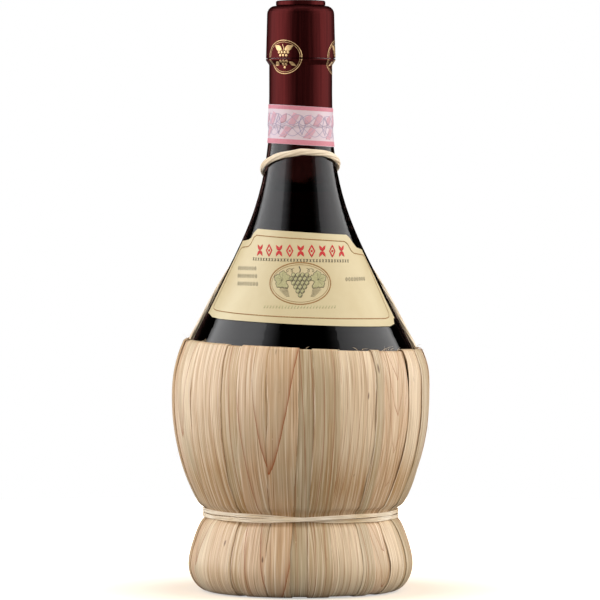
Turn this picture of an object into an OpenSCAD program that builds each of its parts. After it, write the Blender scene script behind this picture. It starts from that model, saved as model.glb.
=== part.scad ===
// Straw-covered wine flask: a round-bellied glass bottle that stands in a basket of wood-straw strips.
// Millimetres, +Z up, origin on the ground under the middle of the foot. The label faces -Y.

/* [Glass] */
// Greatest outer diameter of the flask
belly_d = 111.2; // [108:0.2:113]
// Height of the widest level above the ground
belly_z = 85.8; // [80:0.2:90]
// Depth of the rounded bottom below the widest level
bowl_h = 74; // [70:0.5:78]
// Diameter at the reference point halfway up the straight shoulder
shoulder_d = 72; // [68:0.5:76]
// Height of that point above the widest level
shoulder_h = 47.5; // [45:0.5:50]
// Radius that the shoulder gains for each millimetre it falls
shoulder_slope = 0.49; // [0.45:0.01:0.53]
// Outer diameter of the straight neck
neck_d = 26.9; // [26:0.1:28]
// Distance from the lip to where the neck begins to flare
flare_drop = 38.6; // [34:0.2:44]
// Height of the lip above the widest level
lip_h = 170.6; // [165:0.2:176]
// Bore of the neck
bore_d = 18.5; // [17.5:0.1:19.5]
// Wall of the body
wall = 3.4; // [2.4:0.1:3.8]
// Wall at the middle of the base
base_wall = 4.5; // [3.5:0.1:6]
// Radius at which the base turns up into its shallow punt
punt_r = 13; // [10:0.5:16]
// Rise of the punt
punt_h = 2.5; // [1:0.1:4]
// Height of the thick ring at the mouth
finish_h = 23.3; // [18:0.5:25]
// Diameter of that ring at its lower edge
finish_d = 29.3; // [28.8:0.1:30.4]
// Diameter of that ring just under the rounded lip
finish_top_d = 28.3; // [27.6:0.1:28.8]
// Rounding of the lip
lip_round = 3; // [2:0.1:3.6]

/* [Wine and cork] */
// Length of the cork
cork_l = 40; // [36:0.5:46]
// Depth of the cork's top below the lip
cork_inset = 0.5; // [0.3:0.1:2]
// Gap all round the cork
cork_gap = 0.1; // [0.05:0.01:0.2]
// Air between the cork and the wine
ullage = 37; // [20:1:45]

/* [Capsule] */
// Thickness of the capsule's sleeve
capsule_t = 0.35; // [0.25:0.05:0.5]
// Clearance between the sleeve and the ring at the mouth
capsule_gap = 0.25; // [0.2:0.05:0.35]
// Distance from the lip to the sleeve's lower edge
capsule_l = 51.5; // [46:0.5:56]
// Height of the line along which the top is cut off, above the lower edge of the ring at the mouth
cut_rise = 0.6; // [0.4:0.1:3]
// Width of that cut
cut_gap = 0.3; // [0.2:0.05:0.5]
// Diameter of the raised disc on top
disc_d = 21.7; // [20:0.1:22]
// Height of the disc at its edge
disc_h = 2.2; // [1:0.1:3]
// Extra height of the disc at its middle
disc_dome = 0.45; // [0.2:0.05:0.8]

/* [Paper] */
// Height of the seal strip
seal_h = 17; // [14:0.5:19]
// Distance from the lip to the middle of the seal strip
seal_drop = 51.9; // [50:0.1:55]
// Tilt of the seal strip, lower on the right
seal_tilt = 3.5; // [0:0.5:5]
// Thickness of the seal strip
seal_t = 0.2; // [0.15:0.05:0.3]
// Thickness of the label
label_t = 0.25; // [0.15:0.05:0.35]
// Turn of the label's left edge from the front
label_left = 75.5; // [60:0.5:78]
// Turn of the label's right edge from the front
label_right = 73; // [60:0.5:78]

/* [Basket] */
// Thickness of a straw strip
strip_t = 0.45; // [0.35:0.05:0.55]
// Width of a strip of the outer layer
outer_w = 10.8; // [10:0.1:11.4]
// Width of a strip of the inner layer
inner_w = 12.2; // [11.6:0.1:13]
// Height of the rim hoop's middle above the widest level
rim_h = 21.2; // [20:0.2:25]
// Tilt of the rim, lower on the right
rim_tilt = 2.3; // [0:0.1:2.5]
// Thickness of the rim hoop
hoop_d = 1.6; // [1.4:0.1:2.6]
// Outer diameter of the strips at the waist
waist_d = 84; // [83:0.2:87]
// Height of the waist above the ground
waist_z = 34.4; // [32:0.2:37]
// Outer diameter of the foot
foot_d = 99.4; // [97:0.2:103]
// Height above the ground where the foot is widest
foot_z = 12; // [10:0.5:14]
// Thickness of the straw ring in the foot
foot_ring_d = 22.9; // [22:0.1:24]

/* [Raffia] */
// Width of the cord round the neck, along the glass
cord_w = 3.1; // [2.6:0.1:3.2]
// Thickness of the cord, off the glass
cord_t = 2; // [1.8:0.1:2.2]
// Height of the cord's right side above its left side
cord_lean = 2.4; // [0:0.1:3]
// Width of a strand of the waist tie
tie_w = 1.6; // [1.3:0.1:1.8]
// Thickness of a strand of the waist tie
tie_t = 0.9; // [0.7:0.05:1]
// Height between the two turns of the tie
tie_pitch = 2.05; // [2:0.05:2.4]
// Height by which the tie leans to each side
tie_lean = 0.3; // [0:0.05:0.6]

/* [Hidden] */
// A gap between pieces that lie on each other
lay = 0.05;
// A gap between a piece and the hard piece that carries it
seat = 0.3;
// Gap between the two layers of strips
ply_gap = 0.1;
// Gap between the hoop and the folds over it
fold_gap = 0.2;
// Gap between the foot ring and the strips round it
ring_gap = 0.15;
// Gap between the glass and the cord that lies on it
cord_gap = 0.3;
// Least gap that the crossing cord and tie keep to themselves
cross_gap = 0.5;

// The strips stand at one pitch all round, the outer layer and the inner layer in turn
strip_n = 36;
pitch = 360 / strip_n;
layers_t = 2 * strip_t + ply_gap;
// Half of the turn that a strip may take at its narrow inner end
strip_half_turn = pitch - 0.5;

flare_h = lip_h - flare_drop;
belly_r = belly_d / 2;
neck_r = neck_d / 2;
bore_r = bore_d / 2;
shoulder_r = shoulder_d / 2;
finish_r = finish_d / 2;
finish_top_r = finish_top_d / 2;
hoop_r = hoop_d / 2;
ring_r = foot_ring_d / 2;

// Lengths of the handles of the flask's curves
neck_pull = 43.4;
cone_pull = 25.2;
shoulder_pull = 17;
belly_pull = 12;
bowl_pull = 20;
waist_pull = 14;
base_pull = 6.3;

function unit(v) = v / norm(v);
function mix(a, b, t) = a + (b - a) * t;
function ease(t) = t <= 0 ? 0 : t >= 1 ? 1 : t * t * (3 - 2 * t);
function bezier(p, n) = [for (i = [0:n]) let (t = i / n, s = 1 - t)
    s * s * s * p[0] + 3 * s * s * t * p[1] + 3 * s * t * t * p[2] + t * t * t * p[3]];
function arc(c, r, from, to, n) = [for (i = [0:n]) let (a = mix(from, to, i / n))
    c + r * [cos(a), sin(a)]];
// A list of lists joined end to end, each without its first point, which the last one ended on
function chain(parts) = concat([parts[0][0]], [for (p = parts) for (i = [1:len(p) - 1]) p[i]]);
function reversed(p) = [for (i = [len(p) - 1:-1:0]) p[i]];
function heading(p, i) = unit(p[min(i + 1, len(p) - 1)] - p[max(i - 1, 0)]);
// Points moved to the left of the way that the line runs
function offset_left(p, d) = [for (i = [0:len(p) - 1]) let (h = heading(p, i)) p[i] + d * [-h[1], h[0]]];

// Foot ring, on the strips that run under it
path_foot_r = foot_d / 2 - layers_t;
ring_mid = [path_foot_r - ring_gap - ring_r, layers_t + ring_gap + ring_r];

// Groove that the tie draws in, wide enough for both of its turns
tie_half_h = tie_pitch / 2 + tie_lean + tie_w / 2;
tie_sag = seat + tie_t / 2 - lay;
waist_round = (tie_half_h * tie_half_h + tie_sag * tie_sag) / (2 * tie_sag) + layers_t;
path_waist_r = waist_d / 2 - layers_t;
groove_mid = [path_waist_r + waist_round, waist_z];

// The glass passes the groove, rests on the foot ring and ends at the punt, each as [radius, height]
groove_turn = 34;
waist_point = groove_mid + (waist_round + seat + 2 * lay) * [-cos(groove_turn), sin(groove_turn)];
waist_fall = [-sin(groove_turn), -cos(groove_turn)];
rest_turn = 53;
rest_point = ring_mid + (ring_r + seat) * [-cos(rest_turn), sin(rest_turn)];
rest_fall = [-sin(rest_turn), -cos(rest_turn)];
base_point = [punt_r, belly_z - bowl_h];
base_slope = 18;
base_fall = [-cos(base_slope), -sin(base_slope)];

// Outline of the flask as [radius, height above the widest level], from the neck down
flare = bezier([[neck_r, flare_h], [neck_r, flare_h - neck_pull],
    [shoulder_r - shoulder_slope * cone_pull, shoulder_h + cone_pull], [shoulder_r, shoulder_h]], 16);
belly = bezier([[shoulder_r, shoulder_h],
    [shoulder_r + shoulder_slope * shoulder_pull, shoulder_h - shoulder_pull],
    [belly_r, belly_pull], [belly_r, 0]], 12);
bowl = [for (p = chain([
    bezier([[belly_r, belly_z], [belly_r, belly_z - bowl_pull],
        waist_point - waist_pull * waist_fall, waist_point], 9),
    bezier([waist_point, waist_point + base_pull * waist_fall,
        rest_point - base_pull * rest_fall, rest_point], 4),
    bezier([rest_point, rest_point + base_pull * rest_fall,
        base_point - base_pull * base_fall, base_point], 4)]))
    [p[0], p[1] - belly_z]];
bowl_end = bowl[len(bowl) - 1];
punt = bezier([bowl_end, bowl_end + 0.35 * punt_r * heading(bowl, len(bowl) - 1),
    [punt_r / 2, bowl_end[1] + punt_h], [0, bowl_end[1] + punt_h]], 6);
body_outline = chain([[[neck_r, flare_h + 1], [neck_r, flare_h]], flare, belly, bowl, punt]);
shoulder_table = reversed([for (p = chain([flare, belly])) [p[1], p[0]]]);
// Outer radius of the glass at a height between the widest level and the neck
function glass_r(h) = lookup(h, shoulder_table);
// Direction in which the glass falls at such a height, as [radius, height]
function fall(h) = unit([glass_r(h - 1) - glass_r(h + 1), -2]);

// The wall thins from the neck to the body and thickens again towards the base
function wall_at(h) = h > shoulder_h ? mix(wall, neck_r - bore_r, ease((h - shoulder_h) / (flare_h - shoulder_h)))
    : h > 0 ? wall
    : mix(wall, base_wall, ease(-h / bowl_h));
inner_outline = [for (i = [0:len(body_outline) - 1]) let (p = body_outline[i], d = heading(body_outline, i))
    p[0] == 0 ? [0, p[1] + base_wall] : p + wall_at(p[1]) * [d[1], -d[0]]];

function up(h) = belly_z + h;
lip_z = up(lip_h);

// Parts of the capsule
finish_low = lip_h - finish_h;
// Fall of the slope under the ring at the mouth
finish_slope_h = 2.1;
skirt_top = finish_low + cut_rise;
cap_bottom = skirt_top + cut_gap;
skirt_low = lip_h - capsule_l;
disc_low = lip_h + capsule_gap + capsule_t + lay;

// Points of the label's outline: turn from the front and height above the widest level
label_high = [[-53, 73.6], [54, 71], [58, 69.6], [60, 67.6], [64, 65.4], [85, 64]];
label_low = [[85, 34.8], [72, 34.4], [69, 32.2], [62, 31.3], [25, 32], [-20, 33.6],
    [-55, 34.6], [-66, 35.2], [-73, 36.4], [-85, 37]];
label_corner = [[-85, 68], [-63, 68.8], [-59, 69.6], [-57.5, 71.8]];

// Rim hoop: a ring that leans, and moves over to stay as far from the cone of the shoulder all round
hoop_ring_r = glass_r(rim_h) + seat + strip_t + fold_gap + hoop_r;
rim_drop = hoop_ring_r * sin(rim_tilt);
rim_shift = shoulder_slope * rim_drop;
// How far the tilted hoop's place moves from one strip to the next
rim_step = 2 * sin(pitch / 2) * norm([rim_shift, rim_drop]);
function hoop_at(turn) = [hoop_ring_r + rim_shift * cos(turn), up(rim_h) - rim_drop * cos(turn)];

// Line of the basket on the inner face of the inner layer, from the fold inside the rim to the
// end under the foot, as [radius, height]
path_belly_r = belly_r + seat;
groove_top = groove_mid + waist_round * [-cos(50), sin(50)];
groove_low = groove_mid + waist_round * [-cos(45), -sin(45)];
over_waist = [path_waist_r + 4.2, waist_z + 6.2];
under_waist = [path_waist_r + 3.5, waist_z - 6.8];
flat_r = ring_mid[0] + 4;
fold_out = 24;
function basket_line(turn, fold_in, loose) =
    let (c = hoop_at(turn), out = [sin(fold_out), -cos(fold_out)], fold_r = hoop_r + fold_gap + loose,
        rim = c + fold_r * [cos(fold_out), sin(fold_out)])
    chain([
        arc(c, fold_r, fold_in, fold_out, 7),
        bezier([rim, rim + 8 * out, [path_belly_r, belly_z + 9], [path_belly_r, belly_z]], 6),
        bezier([[path_belly_r, belly_z], [path_belly_r, belly_z - 20],
            over_waist + [5.2, 9.7], over_waist], 8),
        bezier([over_waist, over_waist - [1, 1.9], groove_top + [0.9, 0.75], groove_top], 3),
        arc(groove_mid, waist_round, 130, 225, 6),
        bezier([groove_low, groove_low + [0.9, -0.9], under_waist - [0.9, -1.9], under_waist], 3),
        bezier([under_waist, under_waist + [1.5, -3.4],
            [path_foot_r, foot_z + 5], [path_foot_r, foot_z]], 5),
        bezier([[path_foot_r, foot_z], [path_foot_r, foot_z - 6.5],
            [flat_r + 3.2, layers_t], [flat_r, layers_t]], 6),
        [for (r = [flat_r, flat_r - 1, ring_mid[0] + 1, ring_mid[0]]) [r, layers_t]],
        arc(ring_mid, ring_r + ring_gap, 270, 222, 6)]);

// Cord: turn from the front and height above the widest level, from the front of the neck to the back
// and on down the far side of the shoulder to the rim
cord_route = [[0, 107], [45, 105.3], [90, 100.8], [135, 96], [180, 92], [205, 89], [222, 80],
    [234, 70], [245, 59], [252, 51.5], [257, 46], [260, 40], [261, 34]];
cord_end_turn = 261;
rings_per_point = 5;
// Reach of the raised stretch on each side of the crossing
cross_reach = 40;

function spline(p, i, t) =
    let (a = p[max(i - 1, 0)], b = p[i], c = p[i + 1], d = p[min(i + 2, len(p) - 1)])
    0.5 * (2 * b + (c - a) * t + (2 * a - 5 * b + 4 * c - d) * t * t + (3 * b - a - 3 * c + d) * t * t * t);
function spline_points(p, n) = concat([for (i = [0:len(p) - 2]) for (k = [0:n - 1]) spline(p, i, k / n)],
    [p[len(p) - 1]]);
function polar(r, turn, z) = [r * sin(turn), -r * cos(turn), z];
// A place on the shoulder, a given distance off the glass
function on_glass(turn, h, off) = let (f = fall(h)) polar(glass_r(h) - off * f[1], turn, up(h) + off * f[0]);
function cord_bump(turn) = let (away = abs(turn - 180))
    away > cross_reach ? 0 : (cord_t + cross_gap) * pow(cos(90 * away / cross_reach), 2);
function cord_half(side) = [for (p = spline_points(cord_route, rings_per_point))
    on_glass(side * p[0], p[1] + side * cord_lean / 2 * sin(min(p[0], 180)),
        cord_t / 2 + cord_gap + (side > 0 ? cord_bump(p[0]) : 0))];
// Both ends run straight down the shoulder to the hoop, which they meet squarely
function cord_end(side, back) =
    let (turn = side * cord_end_turn, c = hoop_at(turn - 90), f = fall(rim_h),
        e = c - (hoop_r + fold_gap + back) * f)
    polar(e[0], turn, e[1]);
cord_points = concat([cord_end(-1, 0), cord_end(-1, cord_w)], reversed(cord_half(-1)),
    [for (i = [1:len(cord_half(1)) - 1]) cord_half(1)[i]], [cord_end(1, cord_w), cord_end(1, 0)]);

// Waist tie: two turns that cross at the front, with one end laid over the other at the back
tie_rings = 36;
tie_mid_r = (waist_d / 2 + seat + tie_t / 2) / cos(180 / tie_rings);
tie_over = 20;
tie_from = -180 - tie_over;
tie_to = 540 + tie_over;
function tie_side(turn) = turn < 180 ? mix(1, -1, ease((turn + 35) / 70)) : mix(-1, 1, ease((turn - 325) / 70));
function tie_height(turn) = waist_z + tie_pitch / 2 * tie_side(turn) - tie_lean * sin(turn);
function tie_bump(turn) = (tie_t + cross_gap) * ease((60 - abs(turn - 360)) / 30);
// The last stretch lies over the first one
function tie_lift(turn) = (tie_t + cross_gap) * ease((turn - tie_to + 2 * tie_over + 36) / 36);
tie_points = [for (turn = [tie_from:360 / tie_rings:tie_to + 1])
    polar(tie_mid_r + tie_bump(turn) + tie_lift(turn), turn, tie_height(turn))];

// Rings of a swept tube. wide is the half size across the way away, which points off what it lies on
function sweep_ring(p, i, away, wide, thick, sides) =
    let (h = heading(p, i), side = unit(cross(h, away)), out = cross(side, h))
    [for (k = [0:sides - 1]) let (a = 360 * k / sides) p[i] + wide * cos(a) * side + thick * sin(a) * out];
function outward(v) = unit([v[0], v[1], 0]);
function sweep_rings(p, wide, thick, sides) =
    [for (i = [0:len(p) - 1]) sweep_ring(p, i, outward(p[i]), wide, thick, sides)];
// Least distance between the surfaces of stretches that lie at least apart rings from each other
function least_gap(rings, apart) = min([for (i = [0:len(rings) - 1 - apart]) for (j = [i + apart:len(rings) - 1])
    for (a = rings[i]) for (b = rings[j]) norm(a - b)]);

module swept_tube(rings) {
    sides = len(rings[0]);
    n = len(rings);
    polyhedron(
        points = [for (r = rings) for (v = r) v],
        faces = concat([[for (k = [0:sides - 1]) k]],
            [for (i = [0:n - 2]) for (k = [0:sides - 1]) let (m = (k + 1) % sides)
                each [[i * sides + m, i * sides + k, (i + 1) * sides + k],
                    [i * sides + m, (i + 1) * sides + k, (i + 1) * sides + m]]],
            [[for (k = [sides - 1:-1:0]) (n - 1) * sides + k]]));
}

// Outline of the ring at the mouth, grown by g, from the flat of the lip to the lower edge
function finish_outline(g, low) = concat(
    bezier([[finish_top_r - lip_round, lip_h + g], [finish_top_r - 0.45 * lip_round + g / 2, lip_h + g],
        [finish_top_r + g, lip_h - 0.45 * lip_round + g / 2], [finish_top_r + g, lip_h - lip_round]], 5),
    [[finish_r + g, low]]);

module glass_bottle() {
    color([0.12, 0.02, 0.02], 0.6) translate([0, 0, belly_z]) rotate_extrude($fn = 120)
        polygon(concat([[bore_r, lip_h - 1.2], [bore_r + 0.35, lip_h - 0.35], [bore_r + 1.2, lip_h]],
            finish_outline(0, finish_low + 0.4),
            [[finish_r - 0.4, finish_low], [neck_r, finish_low - finish_slope_h]],
            body_outline, reversed(inner_outline)));
}

wine_h = lip_h - cork_inset - cork_l - ullage;
wine_outline = [for (i = [0:len(inner_outline) - 1]) let (p = inner_outline[i], d = heading(inner_outline, i))
    if (p[1] < wine_h) p[0] == 0 ? p + [0, lay] : p + lay * [d[1], -d[0]]];
inner_table = reversed([for (p = inner_outline) if (p[1] > 0 && p[1] < flare_h) [p[1], p[0]]]);
wine_top_r = lookup(wine_h, inner_table) - lay;

module wine() {
    color([0.3, 0.01, 0.03]) translate([0, 0, belly_z]) rotate_extrude($fn = 120)
        polygon(concat([[0, wine_h], [wine_top_r, wine_h]], wine_outline));
}

module cork() {
    r = bore_r - cork_gap;
    top = lip_h - cork_inset;
    color("burlywood") translate([0, 0, belly_z]) rotate_extrude($fn = 72)
        polygon([[0, top], [r - 0.6, top], [r, top - 0.6], [r, top - cork_l + 0.6], [r - 0.6, top - cork_l],
            [0, top - cork_l]]);
}

module capsule_disc() {
    r = disc_d / 2;
    edge = disc_low + disc_h;
    color([0.3, 0.08, 0.08]) translate([0, 0, belly_z]) rotate_extrude($fn = 96)
        polygon(concat([[0, disc_low], [r - 0.3, disc_low], [r, disc_low + 0.3]],
            bezier([[r, edge - 0.7], [r, edge - 0.3], [r - 0.3, edge], [r - 0.8, edge + 0.02]], 3),
            bezier([[r - 1, edge + 0.03], [r - 3, edge + disc_dome / 2], [r / 2, edge + disc_dome],
                [0, edge + disc_dome]], 5)));
}

module capsule_cap() {
    flange_r = bore_r + 0.8;
    outside = finish_outline(capsule_gap + capsule_t, cap_bottom);
    inside = finish_outline(capsule_gap, cap_bottom);
    color([0.3, 0.08, 0.08]) translate([0, 0, belly_z]) rotate_extrude($fn = 96)
        polygon(concat([[flange_r, lip_h + capsule_gap], [flange_r, lip_h + capsule_gap + capsule_t]],
            outside, reversed(inside)));
}

// Outer face of the glass neck under the capsule, grown by g, from the cut down to the lower edge
function skirt_line(g) = concat(
    [[finish_r + capsule_gap + g, skirt_top], [finish_r + capsule_gap + g, finish_low],
        [neck_r + lay + g, finish_low - finish_slope_h], [neck_r + lay + g, flare_h]],
    [for (k = [1:4]) let (h = mix(flare_h, skirt_low, k / 4)) [glass_r(h) + lay + g, h]]);

module capsule_skirt() {
    color([0.3, 0.08, 0.08]) translate([0, 0, belly_z]) rotate_extrude($fn = 96)
        polygon(concat(skirt_line(capsule_t), reversed(skirt_line(0))));
}

// Inner face of the seal strip, grown by g: over the capsule's skirt, then down onto the glass
function seal_line(g) =
    let (top = lip_h - seal_drop + seal_h, low = lip_h - seal_drop - seal_h)
    concat([for (k = [0:4]) let (h = mix(top, skirt_low - 0.2, k / 4))
            [glass_r(h) + capsule_t + 2 * lay + g, h]],
        [for (k = [0:4]) let (h = mix(skirt_low - 1.6, low, k / 4)) [glass_r(h) + lay + g, h]]);

module seal_strip() {
    color([0.85, 0.68, 0.72]) intersection() {
        translate([0, 0, belly_z]) rotate_extrude($fn = 96)
            polygon(concat(seal_line(seal_t), reversed(seal_line(0))));
        translate([0, 0, up(lip_h - seal_drop)]) rotate([0, seal_tilt, 0])
            cube([3 * neck_d, 3 * neck_d, seal_h], center = true);
    }
}

module front_label() {
    high = label_corner[3][1] + 4;
    low = label_low[3][1] - 4;
    face = [for (k = [0:14]) let (h = mix(high, low, k / 14)) [glass_r(h) + lay, h]];
    outline = [for (p = concat(label_corner, label_high, label_low)) [glass_r(p[1]) * sin(p[0]), p[1]]];
    color([0.92, 0.88, 0.74]) intersection() {
        translate([0, 0, belly_z]) rotate([0, 0, -90 - label_left])
            rotate_extrude(angle = label_left + label_right, $fn = 120)
            polygon(concat(face, reversed(offset_left(face, label_t))));
        translate([0, 0, belly_z]) rotate([90, 0, 0]) linear_extrude(belly_d) polygon(outline);
    }
}

module neck_loop() {
    rings = sweep_rings(cord_points, cord_w / 2, cord_t / 2, 8);
    echo(cord_rings = len(rings), cord_least = least_gap(rings, 10));
    color([0.82, 0.76, 0.62]) swept_tube(rings);
}

module rim_hoop() {
    color([0.66, 0.55, 0.38]) translate([rim_shift, 0, up(rim_h)]) rotate([0, rim_tilt, 0])
        rotate_extrude($fn = 96) translate([hoop_ring_r, 0]) circle(r = hoop_r, $fn = 24);
}

module waist_tie() {
    rings = sweep_rings(tie_points, tie_w / 2, tie_t / 2, 8);
    echo(tie_rings = len(rings), tie_least = least_gap(rings, 10));
    color([0.9, 0.84, 0.72]) swept_tube(rings);
}

module foot_ring() {
    color([0.72, 0.6, 0.42]) rotate_extrude($fn = 96) translate(ring_mid) circle(r = ring_r, $fn = 48);
}

// Small differences between hand-cut strips, by formula so that each is always the same
function strip_yaw(i) = 0.5 * sin(137 * i + 20);
function strip_trim(i) = 0.3 * sin(211 * i + 70);

// The way of a cord's end through the folds at the rim, with room round it and open to the strip's near edge
module cord_way(side, open_to) {
    r = cord_w / 2 + 2 * lay;
    a = cord_end(side, 0);
    b = cord_end(side, 3 * cord_w);
    v = b - a;
    translate(a) rotate([0, acos(v[2] / norm(v)), atan2(v[1], v[0])])
        translate([0, 0, -r]) {
            cylinder(r = r, h = norm(v) + r, $fn = 32);
            translate([-r, open_to > 0 ? -inner_w : 0, 0]) cube([2 * r, inner_w, norm(v) + r]);
        }
}

module strip(i) {
    outer = i % 2 == 0;
    turn = (i + 0.5) * pitch;
    line = basket_line(turn, outer ? 142 : 165, outer ? rim_step : 0);
    inside = offset_left(line, outer ? strip_t + ply_gap : 0);
    outside = offset_left(line, outer ? layers_t : strip_t);
    w = (outer ? outer_w : inner_w) + strip_trim(i);
    color(outer ? [0.87, 0.77, 0.58] : [0.8, 0.69, 0.49]) difference() {
        intersection() {
            rotate([0, 0, turn - strip_half_turn]) rotate_extrude(angle = 2 * strip_half_turn, $fn = 120)
                polygon(concat(inside, reversed(outside)));
            rotate([0, 0, turn + strip_yaw(i)]) translate([0, -w / 2, -1]) cube([belly_d, w, lip_z]);
        }
        for (side = [-1, 1]) let (away = side * cord_end_turn - 90 - turn) if (abs(sin(away / 2)) < sin(pitch))
            cord_way(side, sin(away));
    }
}

// Volumes of the inside, in millilitres, as a sum of slices
function slice(a, b) = PI / 3 * abs(a[1] - b[1]) * (a[0] * a[0] + a[0] * b[0] + b[0] * b[0]) / 1000;
function sum(v, i = 0) = i == len(v) ? 0 : v[i] + sum(v, i + 1);
function volume_below(h) = sum([for (i = [0:len(inner_outline) - 2]) inner_outline[i][1] > h ? 0
    : slice(inner_outline[i], inner_outline[i + 1])]);
echo(brimful_ml = volume_below(lip_h) + PI * bore_r * bore_r * (lip_h - flare_h) / 1000,
    wine_ml = volume_below(wine_h), belly_z = belly_z, lip_z = lip_z);

function strip_name(i) = str("strip_", i < 9 ? "0" : "", i + 1);

glass_bottle();
wine();
cork();
capsule_disc();
capsule_cap();
capsule_skirt();
seal_strip();
front_label();
neck_loop();
rim_hoop();
waist_tie();
foot_ring();
for (i = [0:strip_n - 1]) strip(i);
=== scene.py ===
"""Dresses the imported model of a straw-covered wine flask and stands it in a plain studio.

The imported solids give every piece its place. Lengths are written in millimetres, as in the part's
source, and become metres where a mesh is made. The label faces -Y.
"""

import logging
import math
from collections.abc import Callable, Iterable, Sequence
from dataclasses import dataclass, field
from enum import Enum

import bpy
import numpy as np
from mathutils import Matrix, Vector

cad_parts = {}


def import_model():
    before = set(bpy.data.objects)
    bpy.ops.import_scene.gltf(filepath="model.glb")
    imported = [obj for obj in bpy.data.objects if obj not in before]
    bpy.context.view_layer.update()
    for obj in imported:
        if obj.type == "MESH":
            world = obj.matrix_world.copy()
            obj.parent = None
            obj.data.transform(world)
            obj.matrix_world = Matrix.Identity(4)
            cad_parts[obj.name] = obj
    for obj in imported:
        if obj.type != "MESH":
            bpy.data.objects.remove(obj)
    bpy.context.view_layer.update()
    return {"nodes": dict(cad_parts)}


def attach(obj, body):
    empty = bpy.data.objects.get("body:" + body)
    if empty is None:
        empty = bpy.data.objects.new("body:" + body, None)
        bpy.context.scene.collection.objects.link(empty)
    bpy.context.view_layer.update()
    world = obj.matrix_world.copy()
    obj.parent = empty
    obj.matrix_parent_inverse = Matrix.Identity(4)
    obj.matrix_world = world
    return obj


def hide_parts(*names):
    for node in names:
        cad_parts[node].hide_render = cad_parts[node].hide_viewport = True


MM = 0.001
UP = np.array([0.0, 0.0, 1.0])
Colour = tuple[float, float, float, float]
Outline = Sequence[Sequence[float]] | np.ndarray
log = logging.getLogger("flask")


def screen(red: int, green: int, blue: int) -> Colour:
    """Linear colour of an 8-bit screen colour.

    Args:
        red: red level, from 0 to 255.
        green: green level.
        blue: blue level.

    Returns:
        The colour with an alpha of 1.
    """
    parts = [c / 255 for c in (red, green, blue)]
    lin = [p / 12.92 if p <= 0.04045 else ((p + 0.055) / 1.055) ** 2.4 for p in parts]
    return (lin[0], lin[1], lin[2], 1.0)


# Lines and outlines


def bezier(points: Outline, count: int) -> np.ndarray:
    """Points on a cubic curve.

    Args:
        points: its four control points.
        count: number of steps along it.

    Returns:
        count + 1 points.
    """
    p = np.asarray(points, float)
    t = np.linspace(0, 1, count + 1)[:, None]
    s = 1 - t
    return s**3 * p[0] + 3 * s * s * t * p[1] + 3 * s * t * t * p[2] + t**3 * p[3]


def arc(centre: Sequence[float], radius: float, start: float, end: float, count: int) -> np.ndarray:
    """Points on an arc from one angle to another, in degrees."""
    a = np.radians(np.linspace(start, end, count + 1))
    return np.asarray(centre, float) + radius * np.stack([np.cos(a), np.sin(a)], 1)


def heading_at(angle: float) -> np.ndarray:
    """Unit direction at an angle in degrees."""
    return np.array([math.cos(math.radians(angle)), math.sin(math.radians(angle))])


def chain(parts: Sequence[np.ndarray]) -> np.ndarray:
    """Joins lines end to end, each without the point that the one before ends on."""
    return np.vstack([parts[0][:1], *[p[1:] for p in parts]])


def headings(line: np.ndarray, closed: bool = False) -> np.ndarray:
    """Unit direction of a line at each of its points.

    Args:
        line: points of the line.
        closed: whether its last point joins its first.

    Returns:
        One direction for each point.
    """
    if closed:
        d = np.roll(line, -1, 0) - np.roll(line, 1, 0)
    else:
        d = np.gradient(line, axis=0)
    return d / np.maximum(np.linalg.norm(d, axis=1, keepdims=True), 1e-9)


def run(line: np.ndarray) -> np.ndarray:
    """Distance along a line from its start to each of its points."""
    return np.concatenate([[0.0], np.cumsum(np.linalg.norm(np.diff(line, axis=0), axis=1))])


def resampled(line: np.ndarray, step: float, closed: bool = False) -> np.ndarray:
    """The line with points that lie no further apart than step, its corners kept.

    Args:
        line: points of the line.
        step: longest distance between two points.
        closed: whether its last point joins its first.

    Returns:
        The points.
    """
    pts = np.vstack([line, line[:1]]) if closed else line
    out = [pts[:1]]
    for a, b in zip(pts[:-1], pts[1:]):
        n = max(1, math.ceil(np.linalg.norm(b - a) / step))
        out.append(a + (b - a) * (np.arange(1, n + 1) / n)[:, None])
    line = np.vstack(out)
    return line[:-1] if closed else line


def spline(points: Outline, count: int) -> np.ndarray:
    """Smooth line through points, with count steps between each two.

    Args:
        points: points that it passes.
        count: number of steps.

    Returns:
        The points.
    """
    p = np.asarray(points, float)
    p = np.vstack([p[:1], p, p[-1:]])
    out = []
    for i in range(1, len(p) - 2):
        a, b, c, d = p[i - 1 : i + 3]
        t = np.arange(count)[:, None] / count
        square, cube = 2 * a - 5 * b + 4 * c - d, 3 * b - a - 3 * c + d
        out.append(0.5 * (2 * b + (c - a) * t + square * t**2 + cube * t**3))
    return np.vstack([*out, p[-1:]])


def eased(x: np.ndarray | float) -> np.ndarray:
    """Rise from 0 to 1 with level ends."""
    x = np.clip(x, 0.0, 1.0)
    return x * x * (3 - 2 * x)


class Wander:
    """A smooth irregular line, the same on each run."""

    def __init__(self, seed: int, wavelength: float, waves: int = 4) -> None:
        """Draws the waves that add up to the line.

        Args:
            seed: number that fixes the line.
            wavelength: about the length of a wave.
            waves: how many waves.
        """
        rng = np.random.default_rng(seed)
        self.length = wavelength * rng.uniform(0.45, 1.6, waves)
        self.phase = rng.uniform(0, 2 * math.pi, waves)
        self.size = rng.uniform(0.5, 1.0, waves)

    def __call__(self, x: np.ndarray) -> np.ndarray:
        """Height of the line at x, within about 1 of 0."""
        waves = self.size * np.sin(2 * math.pi * np.asarray(x)[..., None] / self.length + self.phase)
        return waves.sum(-1) / self.size.sum() * 1.4


def polar(radius: np.ndarray | float, turn: np.ndarray | float, height: np.ndarray | float) -> np.ndarray:
    """Points at a turn from the front in degrees, as the part's source counts it."""
    a = np.radians(turn)
    return np.stack([radius * np.sin(a), -radius * np.cos(a), height + 0 * a], -1)


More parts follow.
